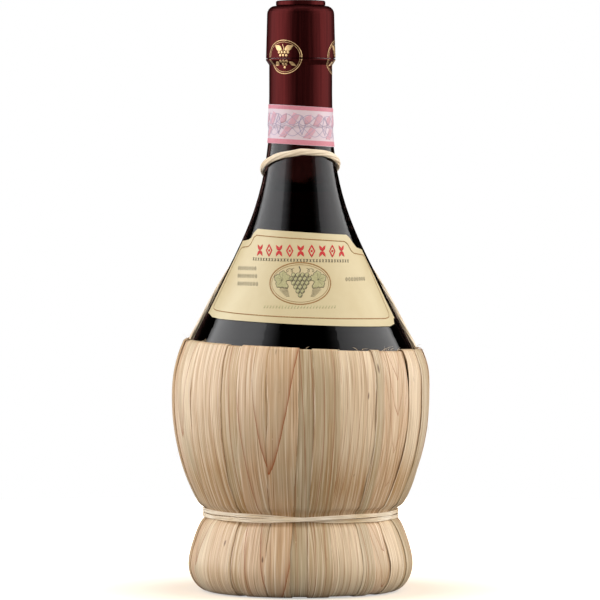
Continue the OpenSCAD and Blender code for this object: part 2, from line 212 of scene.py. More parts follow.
def outward(line: np.ndarray) -> np.ndarray:
    """Level unit direction away from the flask's axis at each point of a line."""
    away = line * (1, 1, 0)
    return away / np.linalg.norm(away, axis=1, keepdims=True)


# Meshes


@dataclass
class Surface:
    """Vertices and faces of a piece under construction, in millimetres."""

    points: list[np.ndarray] = field(default_factory=list)
    faces: list[tuple[int, ...]] = field(default_factory=list)
    uv: list[np.ndarray] = field(default_factory=list)
    count: int = 0

    def add(self, points: np.ndarray, faces: Iterable[Sequence[int]], uv: np.ndarray | None = None) -> None:
        """Adds a patch.

        Args:
            points: its points, one row each.
            faces: its faces, counted from the patch's first point.
            uv: a place in the finish for each point, in millimetres.
        """
        self.points.append(points)
        self.faces.extend(tuple(int(i) + self.count for i in f) for f in faces)
        self.uv.append(points[:, :2] if uv is None else uv)
        self.count += len(points)

    def tube(self, rings: np.ndarray, along: np.ndarray) -> None:
        """Adds a closed tube.

        Args:
            rings: points as [ring, side, xyz].
            along: distance along the tube of each ring.
        """
        n, m = rings.shape[:2]
        faces: list[Sequence[int]] = []
        for i in range(n - 1):
            for k in range(m):
                j = (k + 1) % m
                faces.append((i * m + k, (i + 1) * m + k, (i + 1) * m + j, i * m + j))
        faces.append(list(range(m)))
        faces.append([(n - 1) * m + k for k in range(m - 1, -1, -1)])
        girth = np.linalg.norm(rings[0] - np.roll(rings[0], 1, 0), axis=1).sum()
        around = np.tile(np.arange(m) / m * girth, (n, 1))
        place = np.stack([around, np.repeat(along[:, None], m, 1)], -1)
        self.add(rings.reshape(-1, 3), faces, place.reshape(-1, 2))

    def piece(self, name: str, smooth: bool = True) -> bpy.types.Object:
        """Makes the Blender object.

        Args:
            name: its name.
            smooth: whether it is shaded smooth.

        Returns:
            The object.
        """
        mesh = bpy.data.meshes.new(name)
        mesh.from_pydata((np.vstack(self.points) * MM).tolist(), [], self.faces)
        layer = mesh.uv_layers.new(name="grain")
        loops = np.zeros(len(mesh.loops), int)
        mesh.loops.foreach_get("vertex_index", loops)
        layer.data.foreach_set("uv", (np.vstack(self.uv)[loops] * MM).astype(np.float32).ravel())
        if smooth:
            mesh.polygons.foreach_set("use_smooth", np.ones(len(mesh.polygons), bool))
        mesh.update()
        obj = bpy.data.objects.new(name, mesh)
        bpy.context.scene.collection.objects.link(obj)
        return obj


def across(path: np.ndarray, away: np.ndarray) -> tuple[np.ndarray, np.ndarray]:
    """Unit directions across a path at each point: to its side, and the way that away points.

    Args:
        path: points of the path.
        away: direction at each point that lies off the path's own.

    Returns:
        The directions to the side, and those that away points.
    """
    heading = headings(path)
    side = np.cross(heading, away)
    side /= np.linalg.norm(side, axis=1, keepdims=True)
    return side, np.cross(side, heading)


def swept_rings(path: np.ndarray, away: np.ndarray, outline: np.ndarray) -> np.ndarray:
    """Rings of an outline swept along a path.

    Args:
        path: points of the path.
        away: direction at each point that the outline's second axis follows.
        outline: points of the outline as [ring, side, 2], or [side, 2] for one that stays the same.

    Returns:
        Points as [ring, side, xyz].
    """
    side, out = across(path, away)
    shape = np.broadcast_to(outline, (len(path), *outline.shape[-2:]))
    return path[:, None] + shape[..., :1] * side[:, None] + shape[..., 1:] * out[:, None]


def oval(wide: float, thick: float, sides: int) -> np.ndarray:
    """Outline of an oval by its half sizes."""
    a = np.linspace(0, 2 * math.pi, sides, endpoint=False)
    return np.stack([wide * np.cos(a), thick * np.sin(a)], 1)


# Finishes


Socket = bpy.types.NodeSocket
Value = Socket | float | Sequence[float]


class NodeTree:
    """A node tree, with short calls for the nodes that finishes, lights and surround share."""

    def __init__(self, tree: bpy.types.NodeTree) -> None:
        """Empties the tree."""
        self.tree = tree
        self.tree.nodes.clear()

    def put(self, socket: Socket, value: Value) -> None:
        """Links a socket, or sets it where the value is plain.

        Args:
            socket: a node's input.
            value: another node's output, or a plain value.
        """
        if isinstance(value, bpy.types.NodeSocket):
            self.tree.links.new(value, socket)
        else:
            socket.default_value = value

    def add(
        self, kind: str, inputs: dict[str | int, Value] | None = None, **settings: object
    ) -> bpy.types.Node:
        """Adds a node.

        Args:
            kind: its type's name after ShaderNode.
            inputs: what goes into its sockets, by name or number.
            **settings: its other properties.

        Returns:
            The node.
        """
        made = self.tree.nodes.new("ShaderNode" + kind)
        for key, value in settings.items():
            setattr(made, key, value)
        for key, value in (inputs or {}).items():
            self.put(made.inputs[key], value)
        return made

    def math(self, operation: str, a: Value, b: Value = 0.0) -> Socket:
        """One step of arithmetic."""
        return self.add("Math", {0: a, 1: b}, operation=operation).outputs[0]

    def mix(self, share: Value, a: Value, b: Value) -> Socket:
        """A colour between two."""
        return self.add("Mix", {0: share, 6: a, 7: b}, data_type="RGBA").outputs[2]

    def ranged(
        self, value: Value, low: float, high: float, to_low: float = 0.0, to_high: float = 1.0
    ) -> Socket:
        """A value moved from one range to another and kept within it."""
        names = {"Value": value, "From Min": low, "From Max": high, "To Min": to_low, "To Max": to_high}
        return self.add("MapRange", names).outputs[0]


class Shader(NodeTree):
    """A material's node tree, with the patterns that the finishes share."""

    def __init__(self, name: str) -> None:
        """Starts an empty material.

        Args:
            name: its name.
        """
        self.material = bpy.data.materials.new(name)
        self.material.use_nodes = True
        super().__init__(self.material.node_tree)

    def place(self, scale: Sequence[float], grain: str = "") -> Socket:
        """Coordinates times a scale for each axis, of a UV map by name or else of the object.

        Args:
            scale: factor for each axis.
            grain: name of the UV map, if there is one.

        Returns:
            The coordinates.
        """
        if grain:
            source = self.add("UVMap", uv_map=grain).outputs[0]
        else:
            source = self.add("TexCoord").outputs["Object"]
        return self.add("Mapping", {"Vector": source, "Scale": scale}).outputs[0]

    def noise(self, where: Socket, detail: float = 3.0, rough: float = 0.55) -> Socket:
        """Irregular value from 0 to 1."""
        names = {"Vector": where, "Scale": 1.0, "Detail": detail, "Roughness": rough}
        return self.add("TexNoise", names).outputs[0]

    def bump(
        self, height: Socket, depth: float, strength: float = 1.0, below: Socket | None = None
    ) -> Socket:
        """Normal that follows a height, over the normal below.

        Args:
            height: the height, from 0 to 1.
            depth: how deep a height of 1 is, in millimetres.
            strength: share of the effect.
            below: normal that is already there.

        Returns:
            The normal.
        """
        made = self.add("Bump", {"Height": height, "Strength": strength, "Distance": depth * MM})
        if below is not None:
            self.put(made.inputs["Normal"], below)
        return made.outputs[0]

    def done(self, **inputs: Value) -> bpy.types.Material:
        """Ends the tree in the main shader.

        Args:
            **inputs: its inputs by name, with spaces written as underscores.

        Returns:
            The material.
        """
        shader = self.add("BsdfPrincipled", {k.replace("_", " "): v for k, v in inputs.items()})
        self.tree.links.new(shader.outputs[0], self.add("OutputMaterial").inputs[0])
        return self.material


def dress(obj: bpy.types.Object, material: bpy.types.Material) -> None:
    """Gives a piece one material.

    Args:
        obj: the piece.
        material: its material.
    """
    if obj.data.materials:
        for i in range(len(obj.data.materials)):
            obj.data.materials[i] = material
    else:
        obj.data.materials.append(material)


@dataclass(frozen=True)
class StrawVeneer:
    """Thin satin wood shaved along the grain, with growth lines, fibres and a tone of its own per strip, and
    the painted shade and highlights that the strips' tone layer carries.
    """

    pale: Colour = screen(235, 216, 185)
    deep: Colour = screen(180, 140, 86)
    rosy: Colour = screen(221, 188, 156)
    grey: Colour = screen(185, 170, 139)
    line: Colour = screen(156, 84, 34)
    fibre: Colour = screen(150, 106, 62)
    knot: Colour = screen(98, 60, 32)
    bright: Colour = screen(253, 241, 218)

    def material(self) -> bpy.types.Material:
        """Builds the finish from the strips' grain, figure and tone layers.

        Returns:
            The material.
        """
        s = Shader("straw_veneer")
        layer = s.add("Attribute", attribute_name="tone")
        tones = s.add("SeparateColor", {0: layer.outputs["Color"]})
        light, hue, figured = tones.outputs[0], tones.outputs[1], tones.outputs[2]
        fine = s.noise(s.place((2700, 30, 1), "grain"), 2, 0.6)
        fibre = s.noise(s.place((1150, 16, 1), "grain"), 3, 0.6)
        streak = s.noise(s.place((430, 7, 1), "grain"), 3, 0.55)
        cloud = s.noise(s.place((60, 20, 1), "grain"), 3, 0.5)
        base = s.mix(light, self.pale, self.deep)
        base = s.mix(s.ranged(hue, 0.55, 1.0, 0.0, 0.85), base, self.rosy)
        base = s.mix(s.ranged(hue, 0.45, 0.0, 0.0, 0.85), base, self.grey)
        base = s.mix(s.ranged(streak, 0.50, 0.70, 0.0, 0.5), base, self.deep)
        base = s.mix(s.ranged(streak, 0.46, 0.30, 0.0, 0.5), base, self.pale)
        base = s.mix(s.ranged(fibre, 0.52, 0.70, 0.0, 0.62), base, self.fibre)
        base = s.mix(s.ranged(fibre, 0.46, 0.32, 0.0, 0.60), base, self.bright)
        base = s.mix(s.ranged(fine, 0.54, 0.68, 0.0, 0.62), base, self.fibre)
        base = s.mix(s.ranged(fine, 0.44, 0.32, 0.0, 0.45), base, self.bright)
        base = s.mix(s.ranged(cloud, 0.52, 0.70, 0.0, 0.5), base, self.grey)
        base = s.mix(s.math("MULTIPLY", self.growth_lines(s), figured), base, self.line)
        spots = s.noise(s.place((300, 110, 1), "grain"), 1, 0.4)
        base = s.mix(s.ranged(spots, 0.76, 0.81, 0.0, 0.8), base, self.knot)
        # The tone layer's alpha is painted edge light: above 0.5 a painted highlight in the bright colour,
        # below 0.5 a painted shade line in the line colour.
        edge = layer.outputs["Alpha"]
        base = s.mix(s.ranged(edge, 0.5, 1.0, 0.0, 0.8), base, self.bright)
        base = s.mix(s.ranged(edge, 0.5, 0.0, 0.0, 0.75), base, self.line)
        ridge = s.math("ADD", s.math("MULTIPLY", fine, 0.35), s.math("MULTIPLY", fibre, 0.65))
        normal = s.bump(ridge, 0.14, 0.9)
        normal = s.bump(streak, 0.30, 0.7, normal)
        rough = s.ranged(fibre, 0.3, 0.7, 0.38, 0.54)
        return s.done(Base_Color=base, Roughness=rough, Specular_IOR_Level=0.6, Normal=normal)

    @staticmethod
    def growth_lines(s: Shader) -> Socket:
        """Strength of the dark line that ends each year's growth, with a soft run up to it.

        Args:
            s: the material's tree.

        Returns:
            The strength.
        """
        waver = s.math("SUBTRACT", s.noise(s.place((170, 24, 1), "grain"), 2), 0.5)
        year = s.add("SeparateXYZ", {0: s.add("UVMap", uv_map="figure").outputs[0]}).outputs[0]
        year = s.math("FRACT", s.math("ADD", year, s.math("MULTIPLY", waver, 0.10)))
        late = s.math("MULTIPLY", s.math("POWER", year, 5.0), 0.18)
        late = s.math("ADD", s.math("POWER", year, 26.0), late)
        fade = s.ranged(s.noise(s.place((140, 12, 1), "grain"), 1), 0.3, 0.5, 0.4, 1.0)
        return s.math("MULTIPLY", late, fade)


@dataclass(frozen=True)
class Raffia:
    """Dried palm or straw strands with fine ribs along them."""

    name: str
    pale: Colour
    deep: Colour
    rib_scale: float = 3200.0
    rib_colour: Colour = screen(170, 138, 98)

    def material(self) -> bpy.types.Material:
        """Builds the finish from the strands' own coordinates.

        Returns:
            The material.
        """
        s = Shader(self.name)
        rib = s.noise(s.place((self.rib_scale, 90, 1), "grain"), 3, 0.6)
        band = s.noise(s.place((700, 45, 1), "grain"), 2)
        base = s.mix(s.ranged(band, 0.35, 0.68), self.pale, self.deep)
        base = s.mix(s.ranged(rib, 0.5, 0.8, 0.0, 0.35), base, self.rib_colour)
        return s.done(
            Base_Color=base, Roughness=0.55, Specular_IOR_Level=0.4, Normal=s.bump(rib, 0.12),
            Sheen_Weight=0.15, Sheen_Roughness=0.5,
        )


@dataclass(frozen=True)
class DarkGlass:
    """Thick brown glass, a little uneven as blown glass is."""

    tint: Colour = (0.11, 0.052, 0.048, 1.0)
    gloss: Colour = (0.62, 0.62, 0.63, 1.0)

    def material(self) -> bpy.types.Material:
        """Builds clear tinted glass with faint waves.

        Returns:
            The material.
        """
        s = Shader("dark_glass")
        wave = s.noise(s.place((22, 22, 14)), 1)
        return s.done(
            Base_Color=self.tint, Roughness=0.03, IOR=1.5, Transmission_Weight=1.0,
            Specular_Tint=self.gloss, Normal=s.bump(wave, 0.10, 0.5),
        )


@dataclass(frozen=True)
class RedWine:
    """Opaque red wine: a painted red glow in the neck, where light would shine through the thin wine, black
    where it is deep, and a painted dark band of shade at its top.
    """

    # thin is a painted glow of light through the wine in the neck, and edge a painted shade at the meniscus.
    deep: Colour = (0.0035, 0.0008, 0.0008, 1.0)
    thin: Colour = (0.34, 0.075, 0.06, 1.0)
    edge: Colour = (0.0010, 0.0008, 0.0008, 1.0)
    painted_glow_z: tuple[float, float] = (136.0, 166.0)
    painted_meniscus_shade_z: tuple[float, float] = (174.6, 175.8)
    drift_z: float = 9.0

    def material(self) -> bpy.types.Material:
        """Builds the painted glow and the painted shade band, which follow the height.

        Returns:
            The material.
        """
        s = Shader("red_wine")
        z = s.add("SeparateXYZ", {0: s.place((1000, 1000, 1000))}).outputs[2]
        drift = s.math("SUBTRACT", s.noise(s.place((30, 30, 18)), 2), 0.5)
        drift = s.math("MULTIPLY", drift, self.drift_z)
        # Painted light: the red glow rises up the neck; painted shade: a dark band at the wine's top.
        base = s.mix(s.ranged(s.math("ADD", z, drift), *self.painted_glow_z), self.deep, self.thin)
        base = s.mix(s.ranged(z, *self.painted_meniscus_shade_z), base, self.edge)
        return s.done(Base_Color=base, Roughness=0.3, Specular_IOR_Level=0.0)


@dataclass(frozen=True)
class CapsuleFoil:
    """Satin burgundy sleeve of thin coated metal with faint upright draw marks."""

    lit: Colour = (0.064, 0.0085, 0.0085, 1.0)
    dim: Colour = (0.038, 0.0046, 0.0048, 1.0)
    gloss: Colour = (0.55, 0.5, 0.5, 1.0)

    def material(self) -> bpy.types.Material:
        """Builds the coated foil.

        Returns:
            The material.
        """
        s = Shader("capsule_foil")
        streak = s.noise(s.place((900, 900, 14)), 3, 0.6)
        grit = s.noise(s.place((2400, 2400, 900)), 2)
        base = s.mix(s.ranged(streak, 0.35, 0.65), self.dim, self.lit)
        height = s.math("ADD", streak, s.math("MULTIPLY", grit, 0.4))
        return s.done(
            Base_Color=base, Metallic=0.9, Roughness=s.ranged(streak, 0.3, 0.7, 0.34, 0.42),
            Specular_IOR_Level=0.3, Specular_Tint=self.gloss, Normal=s.bump(height, 0.02, 0.5),
        )


@dataclass(frozen=True)
class Paper:
    """Uncoated paper with soft clouding and a faint tooth."""

    name: str
    sheet: Colour
    shade: Colour
    rough: float = 0.5
    pits: Colour = screen(176, 150, 104)

    def material(self) -> bpy.types.Material:
        """Builds the paper.

        Returns:
            The material.
        """
        s = Shader(self.name)
        cloud = s.noise(s.place((55, 55, 40)), 3)
        tooth = s.noise(s.place((5200, 5200, 5200)), 2)
        laid = s.noise(s.place((120, 120, 1500)), 2)
        base = s.mix(s.ranged(cloud, 0.38, 0.68), self.sheet, self.shade)
        base = s.mix(s.ranged(tooth, 0.45, 0.8, 0.0, 0.12), base, self.pits)
        height = s.math("ADD", s.math("MULTIPLY", tooth, 0.6), s.math("MULTIPLY", laid, 0.4))
        normal = s.bump(height, 0.02, 0.5)
        return s.done(Base_Color=base, Roughness=self.rough, Specular_IOR_Level=0.5, Normal=normal)


@dataclass(frozen=True)
class Ink:
    """Printing ink, worn a little thin in places, or metal foil pressed on."""

    name: str
    colour: Colour
    thin: Colour
    metal: float = 0.0
    rough: float = 0.6

    def material(self) -> bpy.types.Material:
        """Builds the ink.

        Returns:
            The material.
        """
        s = Shader(self.name)
        worn = s.noise(s.place((1500, 1500, 1500)), 3)
        base = s.mix(s.ranged(worn, 0.45, 0.75, 0.0, 0.8), self.colour, self.thin)
        return s.done(Base_Color=base, Metallic=self.metal, Roughness=self.rough, Specular_IOR_Level=0.4)


@dataclass(frozen=True)
class CorkBark:
    """Natural cork with pores and darker flecks."""

    bark: Colour = screen(196, 150, 98)
    fleck: Colour = screen(112, 68, 36)
    pore: Colour = screen(140, 96, 56)

    def material(self) -> bpy.types.Material:
        """Builds the cork.

        Returns:
            The material.
        """
        s = Shader("cork_bark")
        cells = s.add("TexVoronoi", {"Vector": s.place((900, 900, 900)), "Scale": 1.0})
        flecks = s.noise(s.place((380, 380, 160)), 4, 0.7)
        base = s.mix(s.ranged(flecks, 0.5, 0.62), self.bark, self.fleck)
        base = s.mix(s.ranged(cells.outputs["Distance"], 0.0, 0.35, 0.3, 0.0), base, self.pore)
        normal = s.bump(flecks, 0.25, 0.8)
        return s.done(Base_Color=base, Roughness=0.85, Specular_IOR_Level=0.2, Normal=normal)


@dataclass(frozen=True)
class Cane:
    """Peeled cane of the rim hoop."""

    pale: Colour = screen(206, 172, 118)
    deep: Colour = screen(150, 112, 66)

    def material(self) -> bpy.types.Material:
        """Builds the cane with fine lines along it.

        Returns:
            The material.
        """
        s = Shader("cane")
        fine = s.noise(s.place((60, 60, 2500)), 3)
        base = s.mix(s.ranged(fine, 0.35, 0.7), self.pale, self.deep)
        return s.done(Base_Color=base, Roughness=0.45, Normal=s.bump(fine, 0.05))


# The flask's own lines


@dataclass
class FlaskForm:
    """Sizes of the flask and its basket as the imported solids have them, and the lines that follow from them.

    Heights named h are above the widest level of the glass, and z is above the ground. The steps are
    those of a strip's line, from the fold over the hoop, past the belly and the waist, to the foot.
    """

    belly_r: float = 55.6
    belly_z: float = 85.8
    shoulder_r: float = 36.0
    shoulder_h: float = 47.5
    shoulder_slope: float = 0.49
    neck_r: float = 13.45
    lip_h: float = 170.6
    flare_h: float = 132.0
    neck_pull: float = 43.4
    cone_pull: float = 25.2
    shoulder_pull: float = 17.0
    belly_pull: float = 12.0
    lay: float = 0.05
    seat: float = 0.3
    strip_t: float = 0.45
    ply_gap: float = 0.1
    fold_gap: float = 0.2
    ring_gap: float = 0.15
    rim_h: float = 21.2
    rim_tilt: float = 2.3
    hoop_r: float = 0.8
    waist_r: float = 42.0
    waist_z: float = 34.4
    waist_round: float = 4.575
    foot_r: float = 49.7
    foot_z: float = 12.0
    ring_r: float = 11.45
    fold_out: float = 24.0
    groove_turns: tuple[float, float] = (130.0, 225.0)
    over_groove: tuple[float, float] = (4.2, 6.2)
    under_groove: tuple[float, float] = (3.5, -6.8)
    flat_w: float = 4.0
    steps: tuple[int, ...] = (18, 20, 36, 5, 12, 5, 14)

    def __post_init__(self) -> None:
        """Works out the outline of the shoulder and the places of the foot ring and the hoop."""
        flare = bezier(
            [(self.neck_r, self.flare_h), (self.neck_r, self.flare_h - self.neck_pull),
             (self.shoulder_r - self.shoulder_slope * self.cone_pull, self.shoulder_h + self.cone_pull),
             (self.shoulder_r, self.shoulder_h)], 16)
        pull = self.shoulder_pull
        belly = bezier(
            [(self.shoulder_r, self.shoulder_h),
             (self.shoulder_r + self.shoulder_slope * pull, self.shoulder_h - pull),
             (self.belly_r, self.belly_pull), (self.belly_r, 0)], 12)
        self.shoulder = chain([flare, belly])[::-1]
        self.layers_t = 2 * self.strip_t + self.ply_gap
        self.path_foot_r = self.foot_r - self.layers_t
        outer = self.path_foot_r - self.ring_gap
        self.ring_mid = np.array([outer - self.ring_r, self.layers_t + self.ring_gap + self.ring_r])
        hoop = self.radius(self.rim_h) + self.seat + self.strip_t + self.fold_gap + self.hoop_r
        self.hoop_ring_r = float(hoop)
        self.rim_drop = self.hoop_ring_r * math.sin(math.radians(self.rim_tilt))
        self.belly_row = self.steps[0] + self.steps[1]

    def radius(self, h: np.ndarray | float) -> np.ndarray:
        """Outer radius of the glass at a height."""
        return np.interp(h, self.shoulder[:, 1], self.shoulder[:, 0])

    def fall(self, h: np.ndarray | float) -> np.ndarray:
        """Direction in which the glass falls at a height, as radius and height.

        Args:
            h: the height.

        Returns:
            The unit direction.
        """
        h = np.asarray(h, float)
        d = np.stack([self.radius(h - 1) - self.radius(h + 1), -2 + 0 * h], -1)
        return d / np.linalg.norm(d, axis=-1, keepdims=True)

    def on_glass(self, turn: np.ndarray, h: np.ndarray, off: np.ndarray | float) -> np.ndarray:
        """Places on the shoulder, a distance off the glass."""
        f = self.fall(h)
        return polar(self.radius(h) - off * f[..., 1], turn, self.belly_z + h + off * f[..., 0])

    def hoop_at(self, turn: float) -> np.ndarray:
        """Middle of the rim hoop at an angle from +X, as radius and z."""
        drop = self.rim_drop * math.cos(math.radians(turn))
        return np.array([self.hoop_ring_r + self.shoulder_slope * drop, self.belly_z + self.rim_h - drop])

    def basket_line(self, turn: float, fold_in: float, loose: float) -> np.ndarray:
        """Line of a strip's inner face, from its end inside the rim to its end under the foot.

        Args:
            turn: angle of the strip from +X in degrees.
            fold_in: how far round the hoop the strip is folded, in degrees.
            loose: how much wider the fold is than the hoop needs.

        Returns:
            Points as radius and z.
        """
        hoop = self.hoop_at(turn)
        down = heading_at(self.fold_out - 90)
        fold_r = self.hoop_r + self.fold_gap + loose
        rim = hoop + fold_r * heading_at(self.fold_out)
        belly = np.array([self.belly_r + self.seat, self.belly_z])
        waist = np.array([self.waist_r - self.layers_t, self.waist_z])
        groove = waist + (self.waist_round, 0)
        top, low = (groove + self.waist_round * heading_at(angle) for angle in self.groove_turns)
        over, under = waist + self.over_groove, waist + self.under_groove
        foot = np.array([self.path_foot_r, self.foot_z])
        flat = float(self.ring_mid[0]) + self.flat_w
        floor = self.layers_t
        fold, upper, lower, slope, bottom, rise, skirt = self.steps
        return chain([
            arc(hoop, fold_r, fold_in, self.fold_out, fold),
            bezier([rim, rim + 8 * down, belly + (0, 9), belly], upper),
            bezier([belly, belly - (0, 20), over + (5.2, 9.7), over], lower),
            bezier([over, over - (1, 1.9), top + (0.9, 0.75), top], slope),
            arc(groove, self.waist_round, *self.groove_turns, bottom),
            bezier([low, low + (0.9, -0.9), under - (0.9, -1.9), under], rise),
            bezier([under, under + (1.5, -3.4), foot + (0, 5), foot], skirt),
            bezier([foot, foot - (0, 6.5), (flat + 3.2, floor), (flat, floor)], 14),
            np.array([(r, floor) for r in (flat, flat - 1, flat + 1 - self.flat_w, flat - self.flat_w)]),
            arc(self.ring_mid, self.ring_r + self.ring_gap, 270, 222, 8),
        ])


# Glass, wine, cork and capsule


@dataclass
class Vessel:
    """The glass flask with its wine and cork, which stay as packed and get their finishes."""

    nodes: dict[str, bpy.types.Object]

    def build(self) -> None:
        """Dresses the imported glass, wine and cork."""
        for name, finish in (("glass_bottle", DarkGlass()), ("wine", RedWine()), ("cork", CorkBark())):
            dress(self.nodes[name], finish.material())
            log.info("dressed %s", name)


class InkSheet:
    """Printed shapes, drawn flat in millimetres and laid on a curved surface."""

    film_t = 0.02

    def __init__(self, lay: Callable[[np.ndarray], np.ndarray], reach: float = 0.9) -> None:
        """Starts an empty sheet.

        Args:
            lay: gives the place in space of flat points.
            reach: longest side of a face, so that shapes follow the curve.
        """
        self.lay, self.reach, self.surface = lay, reach, Surface()

    def stroke(self, points: Outline, width: float | np.ndarray, closed: bool = False) -> None:
        """Draws a line of a width that may change along it.

        Args:
            points: points of the line.
            width: its width, or one for each point.
            closed: whether its last point joins its first.
        """
        raw = np.asarray(points, float)
        line = resampled(raw, self.reach, closed)
        if not np.isscalar(width):
            raw_run, new_run = run(raw), run(line)
            width = np.interp(new_run, raw_run, width)[:, None]
        side = headings(line, closed)[:, ::-1] * (-1, 1) * width / 2
        n = len(line)
        pts = np.stack([line - side, line + side], 1).reshape(-1, 2)
        last = n if closed else n - 1
        faces = [(2 * i, 2 * i + 1, 2 * ((i + 1) % n) + 1, 2 * ((i + 1) % n)) for i in range(last)]
        self.surface.add(self.lay(pts), faces, pts)

    def fill(self, outline: Outline) -> None:
        """Fills an outline that can be seen whole from its middle.

        Args:
            outline: points of the outline.
        """
        ring = resampled(np.asarray(outline, float), self.reach, True)
        mid = ring.mean(0)
        steps = max(1, math.ceil(np.linalg.norm(ring - mid, axis=1).max() / self.reach))
        n = len(ring)
        pts = np.vstack([mid[None]] + [mid + (ring - mid) * k / steps for k in range(1, steps + 1)])
        faces: list[tuple[int, ...]] = [(0, 1 + i, 1 + (i + 1) % n) for i in range(n)]
        for k in range(1, steps):
            a, b = 1 + (k - 1) * n, 1 + k * n
            faces += [(a + i, b + i, b + (i + 1) % n, a + (i + 1) % n) for i in range(n)]
        self.surface.add(self.lay(pts), faces, pts)

    def piece(self, name: str, ink: Ink, body: str, slot: str) -> None:
        """Makes the printed piece, gives it a hair of thickness and lets it ride on a body.

        Args:
            name: the piece's name.
            ink: its finish.
            body: the body.
            slot: not used.
        """
        obj = self.surface.piece(name)
        thick = obj.modifiers.new("film", "SOLIDIFY")
        thick.thickness, thick.offset = self.film_t * MM, 0.0
        obj.modifiers.new("even", "WEIGHTED_NORMAL").keep_sharp = False
        dress(obj, ink.material())
        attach(obj, body)
        log.info("printed %s", name)


def disc(centre: Sequence[float], radius: float, sides: int = 16) -> np.ndarray:
    """Outline of a round spot."""
    return np.asarray(centre, float) + oval(radius, radius, sides)


def lozenge(centre: Sequence[float], wide: float, high: float) -> np.ndarray:
    """Outline of a diamond by its half sizes."""
    return np.asarray(centre, float) + np.array([(-wide, 0), (0, -high), (wide, 0), (0, high)], float)


def leaf_blade(centre: Sequence[float], length: float, wide: float, turn: float) -> np.ndarray:
    """Outline of a pointed leaf that grows from centre in the direction turn, in degrees.

    Args:
        centre: where it grows from.
        length: its length.
        wide: half its width.
        turn: its direction.

    Returns:
        Points of the outline.
    """
    t = np.linspace(0, 1, 15)
    half = wide * np.sin(math.pi * t**0.8) ** 1.1
    pts = np.vstack([np.stack([t * length, half], 1), np.stack([t[::-1] * length, -half[::-1]], 1)[1:-1]])
    return np.asarray(centre, float) + pts @ np.array([heading_at(turn), heading_at(turn + 90)])


def vine_leaf(centre: Sequence[float], size: float, turn: float) -> np.ndarray:
    """Outline of a lobed leaf.

    Args:
        centre: its middle.
        size: about the reach of a lobe.
        turn: its direction in degrees.

    Returns:
        Points of the outline.
    """
    a = np.radians(np.arange(0, 360, 7.5))
    lobes = 0.72 + 0.2 * np.abs(np.cos(2.5 * a)) ** 1.5 + 0.05 * np.cos(15 * a)
    lobes[np.abs(a - math.pi) < 0.3] *= 0.55
    b = a + math.radians(turn)
    return np.asarray(centre, float) + size * lobes[:, None] * np.stack([np.cos(b), np.sin(b)], 1)


@dataclass
class Capsule:
    """The burgundy sleeve, its cut-off cap and disc, and the gold sprigs pressed on both."""

    nodes: dict[str, bpy.types.Object]
    sleeve: tuple[tuple[float, float], ...] = (
        (220.0, 13.85), (231.0, 13.85), (233.1, 15.25), (235.0, 15.25), (253.0, 14.75),
    )
    cut_z: float = 233.85
    cut_edge: float = 0.25
    print_off: float = 0.04
    wrap_r: float = 15.0
    motif_z: float = 234.4
    motif_half: tuple[float, float] = (8.4, 7.3)
    motif_turns: tuple[float, ...] = (-30.0, 83.0)

    def build(self) -> None:
        """Dresses the sleeve and presses the gold motifs on it."""
        foil = CapsuleFoil().material()
        for name in ("capsule_disc", "capsule_cap", "capsule_skirt"):
            dress(self.nodes[name], foil)
            log.info("dressed %s", name)
        gold = Ink("pressed_gold", screen(212, 178, 130), screen(150, 118, 76), 0.75, 0.38)
        for number, turn in enumerate(self.motif_turns, 1):
            self.motif(turn, 1).piece(f"gold_sprig_{number}_top", gold, "cap", "capsule")
            self.motif(turn, -1).piece(f"gold_sprig_{number}_low", gold, "bottle", "capsule")

    def motif(self, turn: float, side: int) -> InkSheet:
        """Draws the part of an oval sprig above or below the cut.

        Args:
            turn: where the sprig is, in degrees from the front.
            side: 1 for what is on the cap, -1 for what is on the sleeve.

        Returns:
            The printed shapes.
        """
        heights, radii = np.array(self.sleeve).T
        border = self.cut_z - self.motif_z
        edge = self.cut_z + side * self.cut_edge

        def lay(p: np.ndarray) -> np.ndarray:
            """Places flat points on the foil, none of them past the edge of the cut.

            Args:
                p: the flat points.

            Returns:
                Their places in space.
            """
            z = self.motif_z + p[:, 1]
            z = np.maximum(z, edge) if side > 0 else np.minimum(z, edge)
            radius = np.interp(z, heights, radii) + self.print_off
            return polar(radius, turn + np.degrees(p[:, 0] / self.wrap_r), z)

        sheet = InkSheet(lay, 0.5)
        for ring, thick in self.rings(side):
            sheet.stroke(ring[side * (ring[:, 1] - border) > 0.1], thick)
        for shape in self.sprig():
            if side * (float(shape[:, 1].mean()) - border) > 0.15:
                sheet.fill(shape)
        if side > 0:
            sheet.stroke([(0, 2.6), (0.25, 4.0), (-0.4, 5.6)], 0.36)
        return sheet

    def rings(self, side: int) -> Iterable[tuple[np.ndarray, float]]:
        """Both rings of the sprig with their widths, each starting on the side away from the one drawn.

        Args:
            side: 1 for what is on the cap, -1 for what is on the sleeve.

        Returns:
            Points and width of each ring.
        """
        wide, high = self.motif_half
        sides = 144
        for grow, thick in ((0.0, 0.38), (-0.8, 0.18)):
            ring = oval(wide + grow, high + grow, sides)
            start = int(np.argmax(side * ring[:, 1]))
            yield np.roll(ring, sides // 2 - start, axis=0), thick

    @staticmethod
    def sprig() -> Iterable[np.ndarray]:
        """Outlines of the grapes and leaves.

        Returns:
            Points of each outline.
        """
        for row, count in enumerate((4, 3, 4, 3, 2, 1)):
            for k in range(count):
                yield disc(((k - (count - 1) / 2) * 1.5, 2.0 - row * 1.3), 0.62, 12)
        for way in (-1, 1):
            yield leaf_blade((way * 0.6, 2.9), 4.6, 1.25, 90 - way * 62)
            yield leaf_blade((way * 3.4, -0.9), 3.6, 0.9, 90 - way * 75)
            yield leaf_blade((way * 2.6, -2.2), 3.4, 0.8, 90 - way * 120)


# Papers


